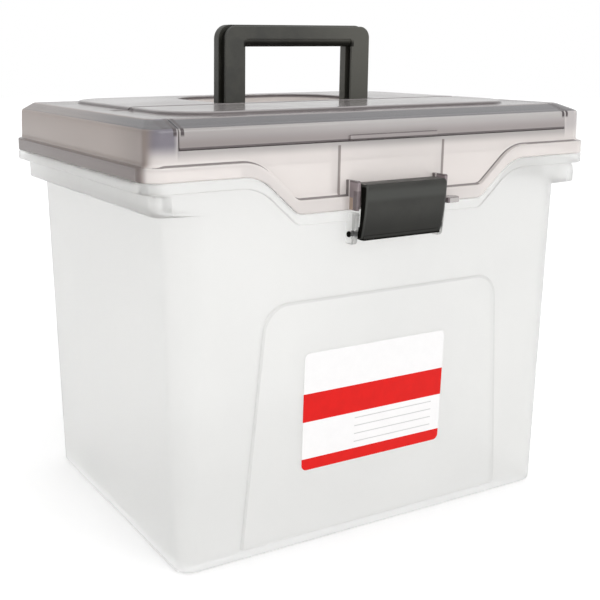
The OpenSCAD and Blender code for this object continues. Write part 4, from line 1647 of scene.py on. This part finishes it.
@dataclass
class Lid:
    """Smoke-grey lid with rim, S-curved front, raised field, recess, tray collar and ears.

    Attributes:
        wave: The parting line.
        dome: Heights of the top, and the raised field.
        rim_low: Height of the rim's lower edge.
        rim_top: Height of the rim's upper edge.
        wall: Thickness of the walls.
        recess_floor: Height of the handle recess's floor.
        recess_half: Half the recess's width.
        recess_front: The recess's front.
        recess_back: The recess's back.
        cut_half: Half the width of the flap's space.
        seat_half: Half the width of the seat behind the flap.
        tight: Radius of the dome's rear corners, as a share of that of the front ones.
        dome_corner: Radius below which the corners of a ring are the dome's.
    """

    wave: Wave
    dome: Dome = Dome()
    rim_low: float = 251.3
    rim_top: float = 260.0
    wall: float = 2.2
    recess_floor: float = 272.5
    recess_half: float = 65.5
    recess_front: float = -9.2
    recess_back: float = 88.0
    cut_half: float = 152.4
    seat_half: float = 154.6
    tight: float = 0.6
    dome_corner: float = 10.5

    def rings(self) -> list[list[Vector]]:
        """Rings of the shell from the inner ceiling down to the rim and up over the outside.

        Returns:
            The rings in order.
        """
        shoulder, top = self.dome.shoulder, self.dome.top
        rim_top, ceiling = self.rim_top, self.rim_top - self.wall
        # Half width, front, back, radius of the corners, height, and how the front follows the S-curve
        rows = [
            (160.5, -98.6, 105.5, 8.0, top - self.wall, Follow.LEVEL),
            (161.5, -99.6, 106.5, 8.0, top - self.wall - 0.3, Follow.LEVEL),
            (168.0, -112.8, 113.0, 8.0, shoulder - 1.6, Follow.LEVEL),
            (168.3, -113.3, 113.3, 8.0, shoulder - 2.8, Follow.LEVEL),
            (168.8, -113.8, 113.8, 8.0, 269.0, Follow.LEVEL),
            (169.1, -114.1, 114.1, 8.0, ceiling + 0.4, Follow.WAVE),
            (169.6, -114.6, 114.6, 8.6, ceiling, Follow.WAVE),
            (172.3, -117.3, 117.3, 11.3, ceiling, Follow.WAVE),
            (172.8, -117.8, 117.8, 11.8, ceiling - 0.5, Follow.WAVE),
            (172.8, -117.8, 117.8, 11.8, self.rim_low, Follow.WAVE),
            (174.5, -119.5, 119.5, 13.5, self.rim_low, Follow.WAVE),
            (175.0, -120.0, 120.0, 14.0, self.rim_low + 0.6, Follow.WAVE),
            (175.0, -120.0, 120.0, 14.0, rim_top - 0.9, Follow.WAVE),
            (174.75, -119.75, 119.75, 13.75, rim_top - 0.3, Follow.WAVE),
            (174.1, -119.1, 119.1, 13.1, rim_top, Follow.WAVE),
            (172.9, -117.9, 117.9, 11.9, rim_top, Follow.WAVE),
            (172.0, -117.0, 117.0, 11.0, rim_top + 0.35, Follow.WAVE),
            (171.4, -116.4, 116.4, 10.45, rim_top + 1.0, Follow.WAVE),
            (171.1, -116.1, 116.1, 10.15, rim_top + 1.9, Follow.WAVE),
            (171.07, -116.07, 116.07, 10.13, rim_top + 2.9, Follow.WAVE),
            (171.0, -116.0, 116.0, 10.1, 269.0, Follow.LEVEL),
            (170.62, -115.62, 115.62, 10.0, shoulder - 2.0, Follow.LEVEL),
            (170.45, -115.4, 115.4, 9.9, shoulder - 0.8, Follow.LEVEL),
            (169.9, -114.7, 114.9, 9.6, shoulder + 0.1, Follow.LEVEL),
            (168.7, -112.6, 113.8, 9.1, shoulder + 0.95, Follow.LEVEL),
            (163.7, -102.4, 108.7, 8.6, top - 0.55, Follow.LEVEL),
            (162.6, -100.6, 107.6, 8.2, top - 0.05, Follow.LEVEL),
            (161.6, -99.0, 106.6, 8.0, top, Follow.LEVEL),
        ]
        return [self.wave.ring(half_x, front, back, radius, z, follow,
                               rear=radius * (self.tight if radius < self.dome_corner else 1))
                for half_x, front, back, radius, z, follow in rows]

    def raised_field(self) -> bpy.types.Object:
        """The raised field with its rounded edge."""
        return stack("raised_field", self.dome.outline(), self.dome.levels())

    def field_hollow(self) -> bpy.types.Object:
        """The hollow under the raised field, behind the flap's trough.

        Returns:
            A closed solid.
        """
        front = -13.1
        rear = [point for point in inset(self.dome.outline(), self.wall) if point[1] > front + 0.05]
        half = self.dome.half - self.wall
        return prism("field_hollow", Axis.Z, [(-half, front), (half, front), *rear],
                     self.dome.top - self.wall - 1.5, self.dome.field - self.wall)

    def recess_plan(self) -> Outline:
        """Plan of the handle recess, with wide rear corners.

        Returns:
            The plan's points.
        """
        low = (-self.recess_half, self.recess_front)
        high = (self.recess_half, self.recess_back)
        return rectangle(low, high, 1.5, 38, 14)

    def recess_body(self) -> bpy.types.Object:
        """Walls and floor of the recess before it is hollowed."""
        return prism("recess_body", Axis.Z, inset(self.recess_plan(), -self.wall),
                     self.recess_floor - self.wall, self.dome.field - 0.4, 0.8, 0)

    def recess_hollow(self) -> bpy.types.Object:
        """The hollow that takes the folded handle, with a rounded mouth.

        Returns:
            A closed solid.
        """
        low, high = self.recess_floor, self.dome.field
        return stack("recess_hollow", self.recess_plan(), (
            (1.0, low), (0.3, low + 0.3), (0.0, low + 1.0), (0.0, high - 1.0), (-0.3, high - 0.3),
            (-1.0, high), (-1.0, high + 3)))

    def skin_profile(self, depth: float, rear: float) -> Outline:
        """Side view of the front of the dome, moved inwards by a depth, from its foot to a rear place."""
        return [(-116.1 + depth, 266.0), (-115.5 + depth, self.dome.shoulder - depth * 0.45),
                (-101.0 + depth * 0.15, self.dome.top - depth), (rear, self.dome.top - depth)]

    def seat_block(self) -> bpy.types.Object:
        """Second skin behind the flap, on which it rests.

        Returns:
            A closed solid.
        """
        outer = self.skin_profile(0.7, -13.2)
        inner = self.skin_profile(4.6, -13.2)
        return prism("seat_block", Axis.X, outer + inner[::-1], -self.seat_half, self.seat_half)

    def flap_cut(self) -> bpy.types.Object:
        """Space of the flap in the lid's front and top.

        Returns:
            A closed solid.
        """
        inner = self.skin_profile(2.4, -15.3)
        outline = [(-124.0, 268.6), (-113.6, 268.6), *inner[1:], (-15.3, 292.0), (-124.0, 292.0)]
        return prism("flap_cut", Axis.X, outline, -self.cut_half, self.cut_half)

    def mouth(self) -> bpy.types.Object:
        """Opening under the flap, over the tray."""
        return block("mouth", (-146, -104.3, 262), (146, -27, 292))

    def trough(self) -> list[bpy.types.Object]:
        """Room for the flap's rear edge to turn."""
        return [rod("trough", FLAP_AXIS, 4.7, -self.cut_half, self.cut_half),
                block("trough_top", (-self.cut_half, -28, FLAP_AXIS[1]), (self.cut_half, -15.3, 285.9))]

    def collar(self) -> list[bpy.types.Object]:
        """Collar round the tray's mouth with the trough's block and its end blocks.

        Returns:
            The trough's block, the collar and the two end blocks.
        """
        trough = block("trough_block", (-self.seat_half, -27.2, 276.8), (self.seat_half, -13.1, 285.7), 0.4)
        frame = block("collar", (-148.2, -106.5, 276.8), (148.2, -27, 282.0), 0.4)
        ends = paired_blocks("pin_block", (self.cut_half, -25.5, 278.7), (157.4, -15.5, 285.7))
        return [trough, frame, *ends]

    @staticmethod
    def hook_view(face: float, inwards: float, reach: float) -> Outline:
        """View of a snap hook along the tray's edge.

        Args:
            face: Place of its outer face.
            inwards: Direction from that face to the tray, 1 or -1.
            reach: How far its root reaches inwards.

        Returns:
            The hook's outline.
        """
        corners = [(0, 273.5, 0.4), (2.8, 273.5, 0.5), (2.8, 275.1, 0.4), (1.6, 275.1, 0), (1.6, 276.9, 0),
                   (reach, 276.9, 0), (reach, 279.8, 0), (0, 279.8, 0.6)]
        return rounded([(face + inwards * offset, up, radius) for offset, up, radius in corners], 3)

    def hooks(self) -> list[bpy.types.Object]:
        """Snap hooks that hold the tray.

        Returns:
            Two hooks at the front and one at each side.
        """
        half, middle = 6, -65.65
        front = [prism("front_hook", Axis.X, self.hook_view(-111.2, 1.0, 5.3), x - half, x + half, 0.25)
                 for x in (-87.6, 87.6)]
        sides = both_sides(lambda side: prism("side_hook", Axis.Y, self.hook_view(side * 152.9, -side, 4.9),
                                              middle - half, middle + half, 0.25))
        return front + sides

    def ears(self) -> list[bpy.types.Object]:
        """Ears beside the latch, the catch between them and the lift tab.

        Returns:
            The two ears, the catch and the tab.
        """
        view = rounded([(-127.6, 226.6, 1.0), (-115.6, 226.6, 0), (-115.6, 245.2, 0), (-128.4, 245.2, 1.5)])
        solids = both_sides(lambda side: prism("ear", Axis.X, view, *span(side, 33.3, 36.0), 0.4))
        over = latch_arc(29.1, (-118.2, -119.6, -121.5, -123.4, -126.5))
        catch = rounded([(-126.5, 228.8, 0.4), (-114.9, 228.8, 0), (-114.9, 238.5, 0)] +
                        [(y, z, 0) for y, z in over], 3)
        solids.append(prism("catch", Axis.X, catch, -34.6, 34.6))
        tab = rounded([(35.0, -130.8, 0), (47.0, -130.8, 5), (47.0, -120.8, 5), (35.0, -120.8, 0)], 8)
        solids.append(prism("lift_tab", Axis.Z, tab, 226.6, 230.2, 0.5))
        return solids

    def clips(self) -> list[bpy.types.Object]:
        """Clips that snap over the tub's hinge bars.

        Returns:
            Both clips.
        """
        view = rounded([(118.5, 251.4, 0), (120.6, 251.4, 0.6), (121.2, 246.4, 1.0), (122.9, 246.0, 0.6),
                        (122.9, 251.6, 1.2), (125.6, 253.0, 1.5), (127.9, 251.4, 1.0), (127.9, 246.3, 0.6),
                        (129.9, 247.4, 1.0), (130.3, 253.4, 2.6), (127.0, 256.4, 2.5), (122.0, 259.5, 1.2),
                        (118.5, 259.5, 0)], 5)
        half = 13
        return [prism("hinge_clip", Axis.X, view, middle - half, middle + half, 0.35)
                for middle in HINGE_PLACES]

    def make(self) -> bpy.types.Object:
        """Builds the lid.

        Returns:
            The lid's piece.
        """
        lid = loft("lid_shell", self.rings())
        carve(lid, [self.raised_field(), self.recess_body()], Carve.ADD)
        carve(lid, [self.field_hollow()], Carve.TAKE)
        carve(lid, [self.recess_body(), self.seat_block()], Carve.ADD)
        carve(lid, [self.flap_cut(), self.mouth()], Carve.TAKE)
        carve(lid, self.collar(), Carve.ADD)
        pin_bores = paired_rods("flap_bore", FLAP_AXIS, 1.56, 151, 156.4)
        carve(lid, [*self.trough(), *pin_bores, self.mouth()], Carve.TAKE)
        bosses = paired_rods("boss", HANDLE_AXIS, 5.6, 66.5, 70.5, 0.4)
        ribs = paired_blocks("rib", (40.6, -114.4, 236), (42.2, -107.4, 266.4), 0.3)
        carve(lid, [*self.hooks(), *self.ears(), *ribs, *self.clips(), *bosses], Carve.ADD)
        bore = rod("handle_bore", HANDLE_AXIS, 3.06, -72, 72)
        carve(lid, [self.recess_hollow(), bore], Carve.TAKE)
        return settle(lid)


@dataclass
class Flap:
    """Front flap of the lid with its pull lip, barrel and pins.

    Attributes:
        dome: Heights of the lid's top, and the raised field.
        half: Half its width.
        low: Height of its lower edge.
        wall: Its thickness.
    """

    dome: Dome = Dome()
    half: float = 152.0
    low: float = 269.0
    wall: float = 2.0

    def side_view(self) -> Outline:
        """Side view of the thin bent sheet from the front edge to the hinge.

        Returns:
            The sheet's outline.
        """
        shoulder, top = self.dome.shoulder, self.dome.top
        return rounded([(-116.75, self.low, 0.8), (-114.75, self.low, 0.8), (-114.3, shoulder - 1.0, 1.5),
                        (-100.9, top - self.wall, 2.0), (-24.0, top - self.wall, 0), (-24.0, top, 0),
                        (-101.4, top, 3.0), (-116.3, shoulder - 0.1, 2.6)])

    def field_plate(self) -> bpy.types.Object:
        """Raised half of the top field that belongs to the flap, up to the hinge.

        Returns:
            A closed solid.
        """
        dome, rear = self.dome, FLAP_AXIS[0]
        outline = rectangle((-dome.half, dome.front), (dome.half, rear), dome.front_corner, 0, 12)
        rings = []
        for depth, z in dome.levels():
            rings.append(lay([(x, rear if y > rear - 1.5 else y) for x, y in inset(outline, depth)], z))
        return loft("field_plate", rings)

    def make(self) -> bpy.types.Object:
        """Builds the flap.

        Returns:
            The flap's piece.
        """
        flap = prism("flap_sheet", Axis.X, self.side_view(), -self.half, self.half, 0.6)
        barrel = rod("barrel", FLAP_AXIS, 4.3, -138.9, 138.9, 0.4, 48)
        ends = rod("end_barrel", FLAP_AXIS, 2.3, -self.half, self.half, 0.3)
        lip_view = rounded([(-118.9, 269.3, 1.3), (-115.6, 269.3, 0), (-115.6, 272.8, 0),
                            (-118.3, 272.8, 1.3)], 5)
        lip = prism("pull_lip", Axis.X, lip_view, -35, 35, 1.0)
        carve(flap, [self.field_plate(), barrel, ends, lip], Carve.ADD)
        plan = rectangle((-137, -86.3), (137, -25.4), 33, 1, 10)
        hollow = prism("flap_hollow", Axis.Z, plan, self.dome.top - self.wall - 1.4, self.dome.top - 0.1)
        carve(flap, [hollow], Carve.TAKE)
        reach = self.half + 3.6
        carve(flap, [rod("flap_pins", FLAP_AXIS, 1.5, -reach, reach, 0.3)], Carve.ADD)
        return settle(flap)


@dataclass
class Handle:
    """Carrying handle: two plates on a web, a rounded grip and two pivot pins.

    Attributes:
        half: Half its width.
        leg: Width of a leg.
        top: Height of its top.
        bar: Height of the bar between the legs.
        front: Its front.
        rear: Its rear.
        groove: Where the groove between the two plates begins and ends.
    """

    half: float = 63.0
    leg: float = 17.8
    top: float = 341.0
    bar: float = 8.5
    front: float = -7.3
    rear: float = 7.8
    groove: Flat = (-5.5, 0.5)

    def outline(self, trim: float = 0.0) -> Outline:
        """Front view of a plate, an upside-down U, trimmed at its outer edge and deeper at its bar.

        Args:
            trim: How much is trimmed.

        Returns:
            The plate's outline.
        """
        pivot, inner = HANDLE_AXIS[1], self.half - self.leg
        half, top, corner = self.half - trim, self.top - trim * 0.6, 9.5 - trim
        low = self.top - self.bar - trim * 1.2
        return rounded([(-half, pivot, 0), (-inner, pivot, 0), (-inner, low, 1.6), (inner, low, 1.6),
                        (inner, pivot, 0), (half, pivot, 0), (half - 0.4, top, corner),
                        (0.4 - half, top, corner)], 10)

    def make(self) -> bpy.types.Object:
        """Builds the handle.

        Returns:
            The handle's piece.
        """
        near, far = self.groove
        front = prism("handle_plates", Axis.Y, self.outline(1.4), self.front, near, 0.9, 0.4)
        rear = prism("rear_plate", Axis.Y, self.outline(), far, self.rear, 0.4, 0.9)
        web = prism("web", Axis.Y, inset(self.outline(), 2.8), near - 0.3, far + 0.3)
        grip_view = rectangle((-6.5, 326.0), (6.9, 334.5), 5.2, 0, 10)
        grip = prism("grip", Axis.X, grip_view, -48.5, 48.5)
        feet = paired_rods("foot", HANDLE_AXIS, 7.0, 45.4, 61.4, 0.9, 40)
        pins = paired_rods("pin", HANDLE_AXIS, 3.0, 60, 70.2, 0.4)
        carve(front, [rear, web, grip, *feet, *pins], Carve.ADD)
        return settle(front)


@dataclass
class Latch:
    """Bulged latch cover with its hook, lower flange and trunnions.

    Attributes:
        half: Half its width.
        low: Height of its lower edge.
        high: Height of its upper edge.
        front: Its foremost place.
        bulge: Radius of the bulge.
        crest: Height at which it stands out most.
        corner: Radius of its corners.
        thick: Thickness of the cover.
        rim: Depth of its rim at the lower edge.
        flare: How much deeper the rim is at the upper edge.
        turns: Number of segments in each corner.
        bends: Number of segments along each of the two bent sides.
    """

    half: float = 32.4
    low: float = 207.4
    high: float = 243.3
    front: float = -132.5
    bulge: float = 129.0
    crest: float = 242.0
    corner: float = 2.8
    thick: float = 2.4
    rim: float = 3.4
    flare: float = 2.6
    turns: int = 6
    bends: int = 16

    def face_y(self, z: float) -> float:
        """Place of the bulged face at a height."""
        return self.front + self.bulge - math.sqrt(self.bulge ** 2 - (z - self.crest) ** 2)

    def ring(self, depth: float, back: float) -> list[Vector]:
        """One ring of the cover.

        Args:
            depth: How far it lies inside the cover's edge.
            back: How far it lies behind the face.

        Returns:
            The ring's points, with more of them along the two sides, which are bent.
        """
        middle, tall = (self.low + self.high) / 2, (self.high - self.low) / 2
        wide, high = self.half - depth, tall - depth
        outline = rectangle((-wide, middle - high), (wide, middle + high), max(self.corner - depth, 0.06),
                            steps=self.turns)
        points: Outline = []
        for index, here in enumerate(outline):
            points.append(here)
            if index in (2 * self.turns + 1, len(outline) - 1):
                after = outline[(index + 1) % len(outline)]
                points += [(here[0], here[1] + (after[1] - here[1]) * k / self.bends)
                           for k in range(1, self.bends)]
        deeper = max(0.0, back - self.thick) / (self.rim - self.thick) * self.flare
        return [Vector((x, self.face_y(z) + back + deeper * (z - self.low) / (2 * tall), z))
                for x, z in points]

    def cover(self) -> bpy.types.Object:
        """The bulged cover with rounded edges, as rings from its back to its face.

        Returns:
            A closed solid.
        """
        inner = [(depth, self.thick) for depth in (17.2, 14.0, 10.0, 6.8, 4.6, 2.6)]
        edge = [(2.1, self.thick + 0.5), (2.0, self.rim - 0.3), (1.7, self.rim), (0.4, self.rim),
                (0.05, self.rim - 0.4), (0.0, 1.2), (0.12, 0.6), (0.5, 0.2), (1.1, 0.0)]
        outer = [(depth, 0.0) for depth in (2.6, 4.6, 5.8, 6.8, 10.0, 14.0, 17.2)]
        return loft("latch_cover", [self.ring(depth, back) for depth, back in inner + edge + outer])

    def make(self) -> bpy.types.Object:
        """Builds the latch.

        Returns:
            The latch's piece.
        """
        cover = self.cover()
        under = latch_arc(29.5, (-130.6, -127, -123.5, -119.4))
        hook_view = rounded([(-119.0, 243.2, 0.7), (-130.9, 243.2, 0)] + [(y, z, 0) for y, z in under], 4)
        hook = prism("hook", Axis.X, hook_view, -31.8, 31.8, 0.5)
        flange_view = rounded([(-129.4, 207.6, 0.6), (-122.0, 207.6, 0), (-122.0, 210.4, 0),
                               (-128.9, 210.4, 0)], 4)
        flange = prism("lower_flange", Axis.X, flange_view, -30.6, 30.6, 0.4)
        barrel = rod("latch_barrel", LATCH_AXIS, 3.8, -28.6, 28.6, 0.5)
        pins = rod("trunnions", LATCH_AXIS, 1.9, -37.3, 37.3, 0.4)
        carve(cover, [hook, flange, barrel, pins], Carve.ADD)
        return settle(cover)


Part = Union[Tub, Label, Lid, Flap, Handle, Latch]


# Studio, camera and the whole box


@dataclass(frozen=True)
class Lamp:
    """One far, wide, soft light.

    Attributes:
        name: Its name.
        place: The direction that it comes from.
        spread: How wide it looks from the box, in degrees.
        strength: Its strength.
    """

    name: str
    place: Point
    spread: float
    strength: float

    def make(self) -> None:
        """Hangs the light."""
        data = bpy.data.lights.new(self.name, "SUN")
        data.angle = math.radians(self.spread)
        data.energy = self.strength
        lamp = bpy.data.objects.new(self.name, data)
        lamp.location = self.place
        lamp.rotation_euler = Vector(self.place).to_track_quat("Z", "Y").to_euler()
        bpy.context.scene.collection.objects.link(lamp)


@dataclass(frozen=True)
class Studio:
    """Plain pale floor, white backdrop and soft lights.

    Attributes:
        sky: Brightness of the surroundings that light the box.
        floor_radius: Radius of the round floor.
        floor_depth: Its thickness.
        lamps: The lights.
    """

    sky: float = 0.82
    floor_radius: float = 6000.0
    floor_depth: float = 4.0
    lamps: tuple[Lamp, ...] = (Lamp("key_light", (0.4, -1.9, 1.0), 50, 1.15),
                               Lamp("top_light", (-0.1, 0.4, 2.4), 70, 0.4))

    def floor(self) -> None:
        """Lays the floor."""
        outline = arc((0, 0), self.floor_radius, 0, 355, 71)
        floor = loft("studio_floor", [lay(outline, -self.floor_depth), lay(outline, 0.0)])
        floor.data.transform(Matrix.Scale(MM, 4))
        dress(floor, StudioFloor().make())

    def surroundings(self) -> None:
        """Sets the world: soft light on the box, white for the eye and behind the plastic."""
        world = bpy.data.worlds.new("studio")
        world.use_nodes = True
        bpy.context.scene.world = world
        graph = Graph(world.node_tree, "ShaderNodeOutputWorld")
        light = graph.node("ShaderNodeBackground", None, {"Color": WHITE, "Strength": self.sky})
        white = graph.node("ShaderNodeBackground", None, {"Color": WHITE, "Strength": 1.0})
        shown = graph.either(graph.rays("Is Camera Ray", "Is Transmission Ray"), light, white)
        graph.feed(graph.end.inputs["Surface"], shown)

    def make(self) -> None:
        """Sets up floor, world and lights."""
        self.floor()
        self.surroundings()
        for lamp in self.lamps:
            lamp.make()


@dataclass(frozen=True)
class PhotoCamera:
    """Camera at the photograph's place and angle.

    Attributes:
        azimuth: Its direction round the box in degrees.
        elevation: How far it looks down in degrees.
        roll: Its roll in degrees.
        lens: Focal length in millimetres.
        sensor: Width of the sensor in millimetres.
        shift: How far the picture is shifted, as shares of its width.
        place: Its place in millimetres.
        reach: How far it sees, in metres.
    """

    azimuth: float = -28.61
    elevation: float = 13.17
    roll: float = -0.18
    lens: float = 59.196
    sensor: float = 36.0
    shift: Flat = (0.1374, -0.03735)
    place: Point = (-400.31, -616.14, 326.01)
    reach: float = 50.0

    def make(self) -> None:
        """Sets up the camera."""
        turn, rise = math.radians(self.azimuth), math.radians(self.elevation)
        right = Vector((math.cos(turn), math.sin(turn), 0))
        back = Vector((math.sin(turn) * math.cos(rise), -math.cos(turn) * math.cos(rise), math.sin(rise)))
        frame = Matrix((right, back.cross(right), back)).transposed().to_4x4()
        roll = Matrix.Rotation(math.radians(self.roll), 4, "Z")
        data = bpy.data.cameras.new("photo_camera")
        data.sensor_fit = "HORIZONTAL"
        data.sensor_width = self.sensor
        data.lens = self.lens
        data.shift_x, data.shift_y = self.shift
        data.clip_end = self.reach
        camera = bpy.data.objects.new("photo_camera", data)
        camera.matrix_world = Matrix.Translation(Vector(self.place) * MM) @ frame @ roll
        bpy.context.scene.collection.objects.link(camera)
        bpy.context.scene.camera = camera


@dataclass
class FileBox:
    """The whole box: builds each piece, dresses it and hangs it on its body.

    Attributes:
        nodes: The frame's CAD nodes by name.
        tray_edge: Rounding of the tray's edges in millimetres.
    """

    nodes: dict
    tray_edge: float = 0.45

    def place(self, part: Part, node: str, body: str, slot: str, material: bpy.types.Material) -> None:
        """Builds a piece and puts it in a node's place.

        Args:
            part: What builds the piece.
            node: Node that it stands for.
            body: Body that it rides on.
            slot: Material slot of the record; not used.
            material: Its material.
        """
        piece = part.make()
        dress(piece, material)
        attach(piece, body)
        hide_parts(node)
        log.info("%s: %d faces, on %s", piece.name, len(piece.data.polygons), body)

    def make(self) -> None:
        """Builds all pieces in order, and dresses the tray, which stays as the frame has it."""
        wave = Wave()
        tub = Tub(wave)
        smoke = SmokePlastic().make()
        self.place(tub, "tub", "tub", "frosted_plastic", FrostedPlastic().make())
        self.place(Label(tub), "label", "tub", "label_paper", PrintedLabel().make())
        self.place(Lid(wave), "lid", "lid", "smoke_plastic", smoke)
        self.place(Flap(), "organizer_flap", "organizer_flap", "smoke_plastic", smoke)
        self.place(Handle(), "handle", "handle", "dark_plastic", DarkPlastic().make())
        self.place(Latch(), "latch", "latch", "dark_plastic", LATCH_PLASTIC.make())
        tray = self.nodes["organizer_tray"]
        soften(tray, self.tray_edge)
        dress(tray, TRAY_PLASTIC.make())
        log.info("organizer_tray: kept, with soft edges")


def main() -> None:
    """Builds the scene."""
    logging.basicConfig(level=logging.INFO, format="%(message)s")
    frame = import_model()
    bpy.context.scene.view_settings.view_transform = "Standard"
    PhotoCamera().make()
    Studio().make()
    FileBox(frame["nodes"]).make()
    bpy.context.view_layer.update()


if __name__ == "__main__":
    main()
